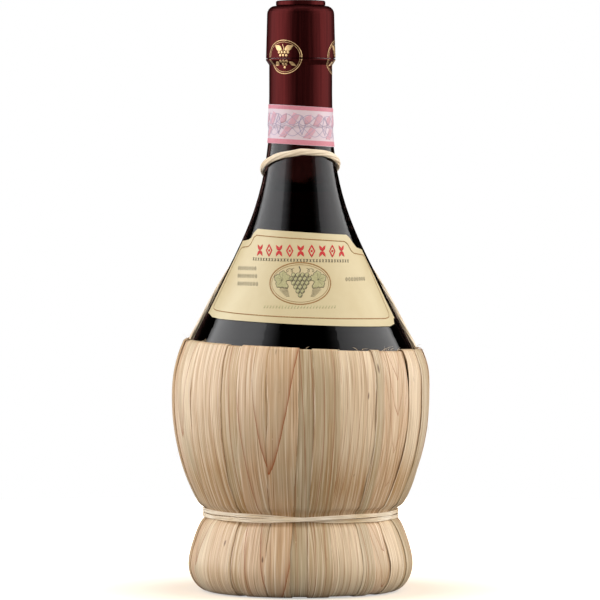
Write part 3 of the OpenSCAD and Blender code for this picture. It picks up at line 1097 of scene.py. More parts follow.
@dataclass
class SealStrip:
    """The paper strip over the lower edge of the sleeve, printed with bands and a woven line pattern."""

    nodes: dict[str, bpy.types.Object]
    form: FlaskForm
    height: float = 17.0
    drop: float = 51.9
    tilt: float = 3.5
    capsule_l: float = 51.5
    paper_t: float = 0.2
    capsule_t: float = 0.35
    print_off: float = 0.04
    print_reach: float = 1.1
    repeats: int = 8
    bands: tuple[tuple[float, float], ...] = ((7.55, 1.7), (-7.35, 2.1))

    def __post_init__(self) -> None:
        """Works out the radius along which the strip's length is measured, and half that length."""
        self.wrap_r = self.form.neck_r + 0.6
        self.half = math.pi * self.wrap_r

    def lay(self, p: np.ndarray) -> np.ndarray:
        """Places flat points on the strip: x along it from the front, y across it from its middle.

        Args:
            p: the flat points.

        Returns:
            Their places in space.
        """
        form = self.form
        turn = np.degrees(p[:, 0] / self.wrap_r)
        tilt = np.sin(np.radians(turn)) * form.neck_r * math.tan(math.radians(self.tilt))
        base = form.lip_h - self.drop + p[:, 1] - tilt
        edge = form.lip_h - self.capsule_l
        step = np.interp(base, [edge - 1.6, edge - 0.2], [0.0, self.capsule_t + form.lay])
        glass = np.where(base > form.flare_h, form.neck_r, form.radius(base))
        return polar(glass + form.lay + self.paper_t + self.print_off + step, turn, form.belly_z + base)

    def build(self) -> None:
        """Dresses the paper and prints it."""
        paper = Paper("seal_paper", screen(222, 206, 218), screen(208, 192, 208))
        rose = Ink("rose_ink", screen(208, 132, 150), screen(212, 152, 166))
        haze = Ink("haze_ink", screen(212, 166, 182), screen(206, 178, 194))
        mauve = Ink("mauve_ink", screen(170, 160, 190), screen(186, 176, 200))
        dress(self.nodes["seal_strip"], paper.material())
        self.edge_bands().piece("seal_bands", rose, "bottle", "seal_paper")
        self.kites().piece("seal_kites", haze, "bottle", "seal_paper")
        self.waves().piece("seal_waves", mauve, "bottle", "seal_paper")
        log.info("dressed seal_strip")

    def spots(self, share: float) -> Iterable[float]:
        """Where each repeat of the pattern has the given share of its length."""
        return (-self.half + (k + share) * 2 * self.half / self.repeats for k in range(self.repeats))

    def edge_bands(self) -> InkSheet:
        """The plain bands along both edges.

        Returns:
            The printed shapes.
        """
        sheet = InkSheet(self.lay, self.print_reach)
        for y, width in self.bands:
            ends = (self.height / 2 - 0.1) * np.sign(y)
            mid = (ends + y - np.sign(y) * width / 2) / 2
            line = [(x, mid) for x in np.linspace(-self.half, self.half, 80)]
            sheet.stroke(line, abs(ends - y) + width / 2)
        return sheet

    def kites(self) -> InkSheet:
        """The soft four-sided shapes and leaves between the bands.

        Returns:
            The printed shapes.
        """
        sheet = InkSheet(self.lay, self.print_reach)
        for x in self.spots(0.5):
            sheet.fill([(x - 4.6, -5.4), (x - 1.4, -5.6), (x + 1.6, -1.4), (x - 1.2, -0.6)])
            sheet.fill([(x - 0.2, 0.3), (x + 2.6, -0.4), (x + 5.0, 4.6), (x + 2.4, 5.6)])
            sheet.fill(leaf_blade((x - 3.6, 0.6), 5.4, 1.5, 58))
        return sheet

    def waves(self) -> InkSheet:
        """Woven fine lines in two rows, and a row of lozenges.

        Returns:
            The printed shapes.
        """
        sheet = InkSheet(self.lay, self.print_reach)
        x = np.linspace(-self.half, self.half, 420)
        for shift in range(3):
            wave = 2.3 * np.sin(2 * math.pi * (x / (2 * self.half / 6)) + shift * 2 * math.pi / 3)
            sheet.stroke(np.stack([x, wave + 2.4], 1), 0.22)
            sheet.stroke(np.stack([x, wave - 2.4], 1), 0.22)
        for place in self.spots(0.05):
            sheet.stroke(lozenge((place, 0.2), 1.5, 4.2), 0.34, True)
        return sheet


@dataclass
class FrontLabel:
    """The cream label with its brown border and a made-up vineyard ornament."""

    nodes: dict[str, bpy.types.Object]
    form: FlaskForm
    off: float = 0.34
    border: tuple[tuple[float, float], ...] = (
        (-52.6, 156.6), (49.2, 153.7), (52.0, 148.7), (71.6, 147.6), (66.7, 121.3), (61.0, 120.3),
        (18.8, 121.0), (0.0, 121.5), (-17.2, 122.0), (-42.4, 122.9), (-64.8, 123.8), (-70.6, 124.8),
        (-70.7, 151.0), (-54.7, 151.6),
    )
    picture_mid: tuple[float, float] = (-0.2, 136.0)
    picture_half: tuple[float, float] = (13.4, 8.9)
    leaf_turn: float = 68.0
    row_z: float = 149.9

    def lay(self, p: np.ndarray) -> np.ndarray:
        """Places flat points: x along the arc at their own height, y as height above the ground.

        Args:
            p: the flat points.

        Returns:
            Their places in space.
        """
        h = p[:, 1] - self.form.belly_z
        r = self.form.radius(h)
        return self.form.on_glass(np.degrees(p[:, 0] / r), h, self.off)

    def turned(self, points: Outline) -> np.ndarray:
        """Flat points from turns in degrees and heights above the ground."""
        p = np.asarray(points, float)
        return np.stack([np.radians(p[:, 0]) * self.form.radius(p[:, 1] - self.form.belly_z), p[:, 1]], 1)

    def build(self) -> None:
        """Dresses the paper and prints the border, the red row, the grey rules and the picture."""
        paper = Paper("label_paper", screen(214, 203, 166), screen(206, 192, 152), 0.42)
        dress(self.nodes["front_label"], paper.material())
        brown = Ink("brown_ink", screen(150, 112, 66), screen(188, 156, 108))
        red = Ink("red_ink", screen(196, 44, 48), screen(210, 84, 78))
        black = Ink("black_ink", screen(66, 62, 52), screen(112, 104, 84))
        olive = Ink("olive_ink", screen(176, 174, 132), screen(200, 196, 154))
        self.lines().piece("label_border", brown, "bottle", "label_paper")
        self.red_row().piece("label_red_row", red, "bottle", "label_paper")
        dark, soft = self.picture()
        dark.piece("label_engraving", black, "bottle", "label_paper")
        soft.piece("label_tints", olive, "bottle", "label_paper")
        log.info("dressed front_label")

    def lines(self) -> InkSheet:
        """Border along the label's edge and the oval frame of the picture.

        Returns:
            The printed shapes.
        """
        sheet = InkSheet(self.lay, 1.0)
        pts = self.turned(self.border)
        rounded = []
        for i, p in enumerate(pts):
            a, b = pts[i - 1], pts[(i + 1) % len(pts)]
            for q in (a, b):
                step = min(1.2, 0.3 * float(np.linalg.norm(q - p)))
                rounded.append(p + (q - p) / np.linalg.norm(q - p) * step)
        dense = resampled(np.array(rounded), 1.5, True)
        sheet.stroke(dense, 0.42, True)
        wide, high = self.picture_half
        for grow, width in ((0.0, 0.5), (-0.9, 0.2)):
            sheet.stroke(self.picture_mid + oval(wide + grow, high + grow, 90), width, True)
        return sheet

    def red_row(self) -> InkSheet:
        """A row of leaves and lozenges in red.

        Returns:
            The printed shapes.
        """
        sheet = InkSheet(self.lay, 0.8)
        for k in range(-4, 5):
            x, y = k * 4.75, self.row_z - 0.05 * k
            if k % 2:
                sheet.stroke(lozenge((x, y), 1.3, 2.5), 0.6, True)
                sheet.fill(disc((x, y), 0.5, 10))
            else:
                for side in (-1, 1):
                    sheet.fill(leaf_blade((x, y), 2.9, 0.62, 90 + side * 30))
                    sheet.fill(leaf_blade((x, y), 2.9, 0.62, -90 + side * 30))
        return sheet

    def picture(self) -> tuple[InkSheet, InkSheet]:
        """The engraving and its tints: grapes between two vine leaves, and the fine rows round them.

        Returns:
            The engraving and the tints.
        """
        dark, soft = InkSheet(self.lay, 0.7), InkSheet(self.lay, 0.8)
        self.grapes(dark, soft)
        for side in (-1, 1):
            self.leaf(dark, soft, side)
        mid = np.array(self.picture_mid)
        dark.stroke(mid + np.array([(-0.2, 4.6), (0.1, 5.8), (-0.5, 7.3)]), 0.42)
        self.rows(dark, soft)
        return dark, soft

    def grapes(self, dark: InkSheet, soft: InkSheet) -> None:
        """Draws the bunch of grapes, each with a tint, an outline and two lines of shade.

        Args:
            dark: sheet of the engraving.
            soft: sheet of the tints.
        """
        mid = np.array(self.picture_mid)
        for row, count in enumerate((4, 5, 4, 3, 2, 1)):
            for k in range(count):
                at = mid + ((k - (count - 1) / 2) * 1.95, 3.6 - row * 1.72)
                soft.fill(disc(at, 0.86, 14))
                dark.stroke(disc(at, 0.92, 18), 0.2, True)
                for depth in (0.25, 0.5):
                    a = np.radians(np.linspace(-80, 20, 7))
                    dark.stroke(at + (0.92 - depth) * np.stack([np.cos(a), np.sin(a)], 1), 0.15)

    def leaf(self, dark: InkSheet, soft: InkSheet, side: int) -> None:
        """Draws the leaf on one side with its veins, the hatching under it and the tendril over it.

        Args:
            dark: sheet of the engraving.
            soft: sheet of the tints.
            side: 1 for the right one, -1 for the left one.
        """
        mid = np.array(self.picture_mid)
        heart = mid + (side * 7.6, 1.4)
        turn = 90 - side * self.leaf_turn
        outline = vine_leaf(heart, 4.2, turn)
        soft.fill(outline)
        dark.stroke(outline, 0.26, True)
        for spread in (-70, -35, 0, 35, 70):
            dark.stroke([heart, heart + 2.9 * heading_at(turn + spread)], np.array([0.3, 0.1]))
        for k in range(9):
            near, far = 4.6 + 0.1 * k, 9.2 - 0.5 * abs(k - 6)
            start = mid + (side * near, 0.42 * k - 5.6)
            end = mid + (side * far, 0.47 * k - 5.6)
            dark.stroke([start, end], 0.13)
        t = np.linspace(0, 1, 26)
        x = 2.6 + 3.4 * t + 0.8 * np.sin(11 * t)
        y = 5.6 + 0.9 * np.cos(11 * t) * (1 - 0.4 * t)
        dark.stroke(mid + np.stack([side * x, y], 1), 0.17)

    @staticmethod
    def rows(dark: InkSheet, soft: InkSheet) -> None:
        """Draws the rows of crosses, lozenges and ticks.

        Args:
            dark: sheet of the engraving.
            soft: sheet of the tints.
        """
        for k in range(33):
            x = (k - 16) * 1.4
            dark.stroke([(x - 0.35, 145.2 - 0.02 * x), (x + 0.35, 146.5 - 0.02 * x)], 0.24)
            dark.stroke([(x + 0.35, 145.2 - 0.02 * x), (x - 0.35, 146.5 - 0.02 * x)], 0.24)
        for side, top_z, lines in ((-1, 142.2, 3), (1, 137.6, 1)):
            for row in range(lines):
                for k in range(8):
                    x = side * 26.5 + (k - 3.5) * 1.55 + 0.6 * row
                    dark.stroke(lozenge((x, top_z - 3.3 * row), 0.5, 0.85), 0.22, True)
        for k in range(24):
            soft.stroke([((k - 12) * 1.35, 125.3), ((k - 12) * 1.35 + 0.6, 126.5)], 0.34)


# Basket


class Layer(Enum):
    """Layer of the basket, with the angle of its fold round the hoop and its strips' usual width."""

    OUTER = (142.0, 10.8)
    INNER = (165.0, 12.2)

    def __init__(self, fold_in: float, wide: float) -> None:
        """Names the two values."""
        self.fold_in = fold_in
        self.wide = wide


@dataclass
class Split:
    """A split along the grain of a strip, by its place across the strip and its ends as heights."""

    across: float
    top_z: float
    low_z: float
    gap: float


@dataclass(frozen=True)
class Lie:
    """How one strip lies: its edges at the belly and the foot, as turns in degrees from its middle."""

    belly: tuple[float, float]
    foot: tuple[float, float]


@dataclass(frozen=True)
class Figure:
    """Pointed growth lines on a strip, by the height of their tip.

    The tip lies across the strip at tip_u (-1 left edge, 1 right edge), and the lines open upwards at bend.
    """

    tip_z: float
    tip_u: float
    bend: float
    spacing: float


def add_layers(mesh: bpy.types.Mesh, figure: np.ndarray, tone: np.ndarray) -> None:
    """Gives a straw mesh the two layers that its finish reads beside the grain.

    Args:
        mesh: the mesh.
        figure: growth coordinate, and distance along the strip in metres, of each vertex.
        tone: depth of tone with its painted waist shade, hue, strength of the growth lines, and painted edge
            highlight or shade line of each vertex.
    """
    loops = np.zeros(len(mesh.loops), int)
    mesh.loops.foreach_get("vertex_index", loops)
    layer = mesh.uv_layers.new(name="figure")
    layer.data.foreach_set("uv", figure[loops].astype(np.float32).ravel())
    colours = mesh.color_attributes.new(name="tone", type="FLOAT_COLOR", domain="POINT")
    colours.data.foreach_set("color", tone.astype(np.float32).ravel())


@dataclass
class StrawStrip:
    """One folded strip of wood straw."""

    index: int
    form: FlaskForm
    lie: Lie | None = None
    figure: Figure | None = None
    split: Split | None = None
    edge_lift: tuple[float, float] = (0.0, 0.0)
    veneer_t: float = 0.22
    belly_at_r: float = 57.0
    foot_at_r: float = 49.5
    cord_turns: tuple[float, ...] = (9.0, 171.0)
    cord_at_r: float = 50.0
    cord_room: float = 1.75
    folded_l: float = 4.2
    figure_z: float = 80.0
    # Painted shade round the waist: its strength, and the height and spread of its band in millimetres.
    shade: float = 0.85
    shade_z: float = 48.0
    shade_spread: float = 12.0
    columns: tuple[float, ...] = (-1, -0.96, -0.84, -0.66, -0.44, -0.22, 0, 0.22, 0.44, 0.66, 0.84, 0.96, 1)

    def __post_init__(self) -> None:
        """Takes the strip's own width, tone and waves from its number."""
        self.layer = Layer.OUTER if self.index % 2 == 0 else Layer.INNER
        self.turn = (self.index + 0.5) * 10.0
        self.rng = np.random.default_rng(700 + self.index)
        width = self.layer.wide + self.rng.uniform(-1.6, 1.6)
        drift = self.rng.uniform(-1.3, 1.3, 2)
        if self.lie is None:
            wide = math.degrees(math.asin(width / 2 / self.belly_at_r))
            low = math.degrees(math.asin(width / 2 / self.foot_at_r)) * 0.96
            self.lie = Lie((drift[0] - wide, drift[0] + wide), (drift[1] - low, drift[1] + low))
        self.tone = (self.rng.uniform(0.0, 0.8), self.rng.uniform(0.0, 1.0), self.rng.uniform(0.3, 1.0))
        self.press = 0.15 if self.layer is Layer.OUTER else 0.0
        if self.layer is Layer.OUTER and self.edge_lift == (0.0, 0.0):
            self.edge_lift = (self.rng.uniform(-0.15, 0.2), self.rng.uniform(-0.15, 0.2))

    def edges(
        self, radius: np.ndarray, along: np.ndarray, belly: float, foot: float
    ) -> tuple[np.ndarray, np.ndarray]:
        """Places of the strip's left and right edges across it.

        Args:
            radius: radius of each point of the strip's path.
            along: distance along the path.
            belly: distance along the path of the widest level.
            foot: distance along the path of the widest level of the foot.

        Returns:
            Left edge and right edge, in millimetres.
        """
        share = eased((along - belly) / (foot - belly))
        sides = []
        for k in (0, 1):
            turn = self.lie.belly[k] + (self.lie.foot[k] - self.lie.belly[k]) * share
            seed = self.index * 3 + k
            bow = 0.34 * Wander(seed, 31)(along) + 0.10 * Wander(seed + 200, 7)(along)
            sides.append(radius * np.sin(np.radians(turn)) + bow)
        return self.clear_of_cord(sides[0], sides[1], along)

    def clear_of_cord(
        self, left: np.ndarray, right: np.ndarray, along: np.ndarray
    ) -> tuple[np.ndarray, np.ndarray]:
        """Keeps the folded end off the cord where the cord goes in under the rim.

        Args:
            left: left edge at each row.
            right: right edge at each row.
            along: distance along the strip of each row.

        Returns:
            Both edges.
        """
        near = along < self.folded_l
        for cord in self.cord_turns:
            away = (self.turn - cord + 180) % 360 - 180
            if abs(away) >= 10:
                continue
            place = -math.radians(away) * self.cord_at_r
            if place > 0:
                right = np.where(near, np.minimum(right, place - self.cord_room), right)
            else:
                left = np.where(near, np.maximum(left, place + self.cord_room), left)
        return left, right

    def build(self) -> bpy.types.Object:
        """Makes the strip, with its finish layers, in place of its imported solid.

        Returns:
            The strip.
        """
        form = self.form
        outer = self.layer is Layer.OUTER
        slack = self.rng.uniform(0.0, 0.28) if outer else 0.0
        line, before, after = (
            form.basket_line(self.turn + step, self.layer.fold_in, slack) for step in (0, -4, 4)
        )
        tilt = (after - before) / 8
        along = run(line)
        marks = along[np.cumsum(form.steps)]
        normal = headings(line)[:, ::-1] * (-1, 1)
        mid = line + (1.2 * form.strip_t + form.ply_gap if outer else 0.6 * form.strip_t) * normal
        left, right = self.edges(line[:, 0], along, float(marks[1]), float(marks[6]))
        u = (left + right)[:, None] / 2 + np.array(self.columns) * ((right - left) / 2)[:, None]
        radius = np.maximum(mid[:, :1], 1.0)
        u = np.clip(u, -0.9 * radius, 0.9 * radius)
        off = self.relief(along, float(marks[3] + marks[4]) / 2)
        sweep = np.degrees(u / radius)
        wrap = np.sqrt(np.maximum(radius**2 - u**2, 0.0))
        rho = wrap + off * normal[:, :1] + tilt[:, :1] * sweep
        z = mid[:, 1:2] + off * normal[:, 1:2] + tilt[:, 1:] * sweep
        cos, sin = heading_at(self.turn)
        grid = np.stack([rho * cos - u * sin, rho * sin + u * cos, z], -1)
        return self.to_piece(grid, u, along, mid[:, 1])

    def relief(self, along: np.ndarray, waist: float) -> np.ndarray:
        """How far the strip stands off its path: at edges that lift, and in soft pleats between.

        Args:
            along: distance along the strip of each row.
            waist: distance along the strip of the waist, where it lies flat.

        Returns:
            The distance of each point as [row, column].
        """
        cols = np.array(self.columns)
        rise = np.zeros((len(along), len(cols)))
        for k, way in ((0, -1), (1, 1)):
            swing = np.clip(0.45 + 0.7 * Wander(self.index + 50 + 40 * k, 34)(along), 0, 1)[:, None]
            rise += (swing * (self.edge_lift[k] + self.press) - self.press) * np.clip(way * cols, 0, 1) ** 2
        free = np.clip((along - 2.0) / 5.0, 0, 1) * (1 - np.exp(-(((along - waist) / 5.0) ** 2)))
        free = free * np.clip((along[-1] - 22 - along) / 10.0, 0, 1)
        swell, folds = (0.06, 0.09) if self.layer is Layer.OUTER else (0.01, 0.015)
        wave = swell * (1 + Wander(self.index + 130, 24)(along))
        deep = folds * (1 + Wander(self.index + 300, 40)(along))
        pleat = deep[:, None] * np.cos(cols * (2.2 + self.index % 3) + self.index)
        return (rise + (wave[:, None] + np.maximum(pleat, 0)) * (1 - cols**4)) * free[:, None]

    def opening(
        self, split: Split, grid: np.ndarray, along: np.ndarray, z: np.ndarray
    ) -> tuple[int, np.ndarray, np.ndarray]:
        """Finds where a split opens the strip.

        Args:
            split: the split.
            grid: points as [row, column, xyz].
            along: distance along the strip of each row.
            z: height of each row.

        Returns:
            Its column, its rows, and half of its gap at each of them.
        """
        cut = int(np.argmin(np.abs(np.array(self.columns) - split.across)))
        within = (z < split.top_z) & (z > split.low_z) & (along > 3.0) & (along < 70)
        inside = np.nonzero(within)[0]
        t = np.linspace(0, 1, len(inside))
        gap = split.gap * np.sin(math.pi * t**0.75) * (1 - 0.15 * t)
        tangent = grid[inside, cut + 1] - grid[inside, cut]
        tangent /= np.linalg.norm(tangent, axis=1, keepdims=True)
        return cut, inside, tangent * gap[:, None] * 0.5

    def to_piece(
        self, grid: np.ndarray, u: np.ndarray, along: np.ndarray, z: np.ndarray
    ) -> bpy.types.Object:
        """Turns the grid of points into a mesh with its layers.

        Args:
            grid: points as [row, column, xyz].
            u: place across the strip of each point.
            along: distance along the strip of each row.
            z: height of each row.

        Returns:
            The strip.
        """
        rows, cols = u.shape
        index = np.arange(rows * cols).reshape(rows, cols)
        right_of = index.copy()
        points, wide, far = grid.reshape(-1, 3), u.ravel(), np.repeat(along, cols)
        if self.split is not None:
            cut, inside, half_gap = self.opening(self.split, grid, along, z)
            new = grid[inside, cut] + half_gap
            points[index[inside, cut]] -= half_gap
            right_of[inside, cut] = rows * cols + np.arange(len(inside))
            points = np.vstack([points, new])
            wide = np.concatenate([wide, u[inside, cut]])
            far = np.concatenate([far, along[inside]])
        faces = [
            (int(right_of[r, c]), int(index[r, c + 1]), int(index[r + 1, c + 1]), int(right_of[r + 1, c]))
            for r in range(rows - 1) for c in range(cols - 1)
        ]
        surface = Surface()
        place = np.stack([wide + 37.0 * self.index, far + 211.0 * (self.index % 7)], 1)
        surface.add(points, faces, place)
        obj = surface.piece(f"straw_strip_{self.index + 1:02d}")
        # Painted highlights and shade lines along the strips' edges, carried in the tone layer's alpha.
        bright = self.painted_edge_light(along).ravel()
        bright = np.concatenate([bright, np.full(len(wide) - len(bright), 0.5)])
        row = self.form.belly_row
        low = float(np.interp(-self.figure_z, -z[row:], along[row:]))
        growth = self.growth(wide, far, low, (float(u[row, 0]), float(u[row, -1])))
        add_layers(obj.data, np.stack([growth, far * MM], 1), self.tones(obj.data, bright))
        thick = obj.modifiers.new("thickness", "SOLIDIFY")
        thick.thickness, thick.offset = self.veneer_t * MM, 0.0
        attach(obj, "bottle")
        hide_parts(f"strip_{self.index + 1:02d}")
        return obj

    def painted_edge_light(self, along: np.ndarray) -> np.ndarray:
        """Painted edge light of each point: 0.5 for none, and on an outer strip a painted highlight along its
        left edge and a painted shade line along its right.

        Args:
            along: distance along the strip of each row.

        Returns:
            The painted edge light as [row, column].
        """
        edge = np.full((len(along), len(self.columns)), 0.5)
        if self.layer is Layer.OUTER:
            light, dark = Wander(self.index + 500, 45)(along), Wander(self.index + 648, 40)(along)
            light = 0.5 * np.clip(0.2 + light, 0, 1) * self.rng.uniform(0.5, 1)
            dark = 0.5 * np.clip(0.1 + dark, 0, 1) * self.rng.uniform(0.0, 0.65)
            edge[:, 0] += light
            edge[:, 1] += 0.7 * light
            edge[:, -1] -= dark
            edge[:, -2] -= 0.7 * dark
        return edge

    def growth(self, u: np.ndarray, s: np.ndarray, low: float, belly: tuple[float, float]) -> np.ndarray:
        """Growth coordinate, with a dark line at each whole number.

        Args:
            u: place across the strip of each vertex.
            s: distance along the strip of each vertex.
            low: distance along the strip at the height that figures are measured from.
            belly: places of the strip's edges across it at the belly.

        Returns:
            The coordinate of each vertex.
        """
        figure = self.figure
        if figure is not None:
            tip = low + (self.figure_z - figure.tip_z) * 1.02
            tip_u = sum(belly) / 2 + figure.tip_u * (belly[1] - belly[0]) / 2
            return 1.0 - (tip - s - figure.bend * np.abs(u - tip_u) ** 1.45) / figure.spacing
        if self.rng.random() < 0.3:
            tip = self.rng.uniform(20, 95)
            bend, tip_u = self.rng.uniform(0.5, 1.2), self.rng.uniform(-3, 3)
            return 1.0 - (tip - s - bend * np.abs(u - tip_u) ** 1.6) / self.rng.uniform(22, 45)
        drift = self.rng.uniform(-0.05, 0.05)
        return (u + drift * s + 0.5 * np.sin(s / 23.0 + self.index)) / self.rng.uniform(2.6, 6.0)

    def tones(self, mesh: bpy.types.Mesh, bright: np.ndarray) -> np.ndarray:
        """The tone layer: the strip's own tone, deepened by painted shade round the waist, and the painted
        edge light.

        Args:
            mesh: the strip's mesh.
            bright: painted edge highlight or shade line of each vertex.

        Returns:
            The layer's four values for each vertex.
        """
        light, hue, figured = self.tone
        if self.figure is not None:
            figured = 1.0
        tone = np.tile((light, hue, figured, 0.5), (len(mesh.vertices), 1)).astype(np.float32)
        places = np.zeros(3 * len(mesh.vertices), np.float32)
        mesh.vertices.foreach_get("co", places)
        # Painted shade: the tone is deepened in a band round the waist, where the straw above the tie faces
        # down into shade.
        fold = np.exp(-(((places[2::3] / MM - self.shade_z) / self.shade_spread) ** 2))
        tone[:, 0] = np.clip(tone[:, 0] + self.shade * fold, 0.0, 1.0)
        tone[:, 3] = bright
        return tone


class Fibres:
    """The fine loose fibres that stand off the rim and the strips' edges."""

    rim_count = 110
    edge_count = 60
    seed = 77
    tone = (0.15, 0.5, 0.0, 0.5)

    def __init__(self, form: FlaskForm) -> None:
        """Starts without fibres.

        Args:
            form: the flask's lines.
        """
        self.form = form
        self.surface = Surface()
        self.rng = np.random.default_rng(self.seed)

    def build(self, veneer: bpy.types.Material) -> None:
        """Makes all fibres as one piece, in the strips' finish.

        Args:
            veneer: that finish.
        """
        self.rim()
        self.edges()
        obj = self.surface.piece("straw_frays")
        count = len(obj.data.vertices)
        add_layers(obj.data, np.zeros((count, 2)), np.tile(self.tone, (count, 1)))
        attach(obj, "bottle")
        dress(obj, veneer)
        log.info("made straw_frays")

    def hair(self, root: np.ndarray, lead: np.ndarray, bend: np.ndarray, length: float, thick: float) -> None:
        """Adds one fibre.

        Args:
            root: where it starts.
            lead: the way that it sets out.
            bend: the way that it turns to.
            length: its length where lead is a unit direction.
            thick: half its width at the root.
        """
        t = np.linspace(0, 1, 8)[:, None]
        path = root + length * (t * lead + t**2 * bend)
        shape = oval(thick, thick * 0.6, 4)[None] * (1.02 - 0.9 * t[:, :, None])
        self.surface.tube(swept_rings(path, outward(path), shape), run(path) + self.rng.uniform(0, 500))

    def rim(self) -> None:
        """Adds the fibres of the fold round the hoop."""
        rng = self.rng
        reach = self.form.hoop_r + self.form.fold_gap + 0.75
        for _ in range(self.rim_count):
            turn = rng.uniform(0, 360)
            r, z = self.form.hoop_at(turn - 90) + reach * heading_at(rng.uniform(25, 100))
            side, away = polar(1.0, turn + 90, 0.0), polar(1.0, turn, 0.0)
            lead = side * rng.normal(0, 0.5) + away * rng.uniform(-0.2, 0.5) + UP * rng.uniform(0.1, 0.8)
            bend = side * rng.normal(0, 0.5) + away * rng.uniform(-0.1, 0.4) + UP * rng.uniform(-0.7, 0.1)
            self.hair(polar(r, turn, z), lead, bend, rng.uniform(1.0, 4.2), rng.uniform(0.06, 0.13))

    def edges(self) -> None:
        """Adds the fibres of the strips' edges."""
        rng = self.rng
        line = self.form.basket_line(0, Layer.OUTER.fold_in, 0.0)
        line = line[(line[:, 1] > 14) & (np.arange(len(line)) > 19)]
        for _ in range(self.edge_count):
            turn = rng.uniform(0, 360)
            z = rng.choice([rng.uniform(42, 74), rng.uniform(15, 28)])
            here, above = (float(np.interp(-level, -line[:, 1], line[:, 0])) for level in (z, z + 1))
            side, away = polar(1.0, turn + 90, 0.0), polar(1.0, turn, 0.0)
            lead = UP + away * (here - above)
            bend = away * rng.uniform(-0.02, 0.06) + side * rng.normal(0, 0.08)
            way = rng.choice([-1, 1])
            root = polar(here + 0.95, turn, z)
            self.hair(root, way * lead, bend, rng.uniform(2.0, 6.0), rng.uniform(0.05, 0.09))


@dataclass
class Basket:
    """The folded strips, the cane hoop in their rim and the straw ring in the foot."""

    nodes: dict[str, bpy.types.Object]
    form: FlaskForm
    strips: int = 36
    stalk_r: float = 1.15
    stalk_rings: tuple[tuple[float, int], ...] = ((6.9, 18), (9.15, 25))
    front: dict[int, Lie] = field(default_factory=lambda: {
        18: Lie((-7.0, 5.5), (-6.0, 6.0)),
        20: Lie((-7.0, 7.4), (-5.5, 8.0)),
        21: Lie((-7.0, 7.6), (-7.5, 8.0)),
        22: Lie((-12.6, 7.4), (-16.4, 6.5)),
        23: Lie((-8.0, 7.5), (-9.0, 7.0)),
        24: Lie((-4.2, 9.9), (-8.0, 6.5)),
        26: Lie((-9.9, 4.1), (-13.3, -0.5)),
        27: Lie((-7.0, 5.5), (-11.5, 2.0)),
        28: Lie((-9.3, 2.9), (-11.3, 1.5)),
        29: Lie((-8.5, 12.0), (-10.5, 9.6)),
        30: Lie((0.5, 5.2), (-1.6, 6.3)),
        31: Lie((-8.0, 15.5), (-5.5, 11.0)),
        32: Lie((1.4, 12.4), (-3.1, 9.2)),
        34: Lie((-5.8, 5.2), (-5.3, 6.6)),
    })
    figures: dict[int, Figure] = field(default_factory=lambda: {
        20: Figure(67.0, -0.35, 2.6, 60.0),
        24: Figure(54.6, 0.98, 2.45, 75.0),
        26: Figure(54.6, -0.98, 1.35, 75.0),
        31: Figure(78.0, -0.05, 1.9, 16.0),
    })
    splits: dict[int, Split] = field(default_factory=lambda: {
        31: Split(0.66, 106.5, 88.0, 1.5),
    })
    lifts: dict[int, tuple[float, float]] = field(default_factory=lambda: {
        18: (-0.1, -0.05), 20: (-0.1, -0.1), 22: (-0.1, -0.14), 24: (0.1, -0.1), 26: (-0.1, 0.5),
        28: (0.15, 0.2), 30: (0.1, 0.12), 32: (0.35, 0.15), 34: (0.2, 0.6),
    })

    def build(self) -> None:
        """Makes every strip and the ring, and dresses the hoop."""
        veneer = StrawVeneer().material()
        for i in range(self.strips):
            lie, figure, split = self.front.get(i), self.figures.get(i), self.splits.get(i)
            strip = StrawStrip(i, self.form, lie, figure, split, self.lifts.get(i, (0.0, 0.0)))
            dress(strip.build(), veneer)
        log.info("made %d straw strips", self.strips)
        dress(self.nodes["rim_hoop"], Cane().material())
        self.foot_ring()
        Fibres(self.form).build(veneer)

    def foot_ring(self) -> None:
        """Makes the ring of bundled straws in the foot."""
        surface = Surface()
        mid_r, mid_z = self.form.ring_mid
        turn = np.linspace(0, 2 * math.pi, 181)
        for ring, (off, count) in enumerate(self.stalk_rings):
            for k in range(count):
                slack = 0.12 * Wander(ring * 40 + k, 1.7)(turn) * np.sin(turn / 2) ** 0.5
                way = 2 * math.pi * k / count + 0.55 * ring + (k % 2 - 0.5) * 0.10 * np.sin(turn * 2 + k)
                r = mid_r + (off + slack) * np.cos(way)
                z = mid_z + (off + slack) * np.sin(way)
                path = np.stack([r * np.cos(turn), r * np.sin(turn), z], 1)
                away = np.stack([np.cos(way) * np.cos(turn), np.cos(way) * np.sin(turn), np.sin(way)], 1)
                rings = swept_rings(path, away, oval(self.stalk_r, self.stalk_r, 8))
                surface.tube(rings[:-1], run(path)[:-1])
        obj = surface.piece("straw_ring")
        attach(obj, "bottle")
        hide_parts("foot_ring")
        stalks = Raffia("straw_stalks", screen(214, 184, 132), screen(150, 118, 70), 1800.0)
        dress(obj, stalks.material())
        log.info("made straw_ring")


# Raffia


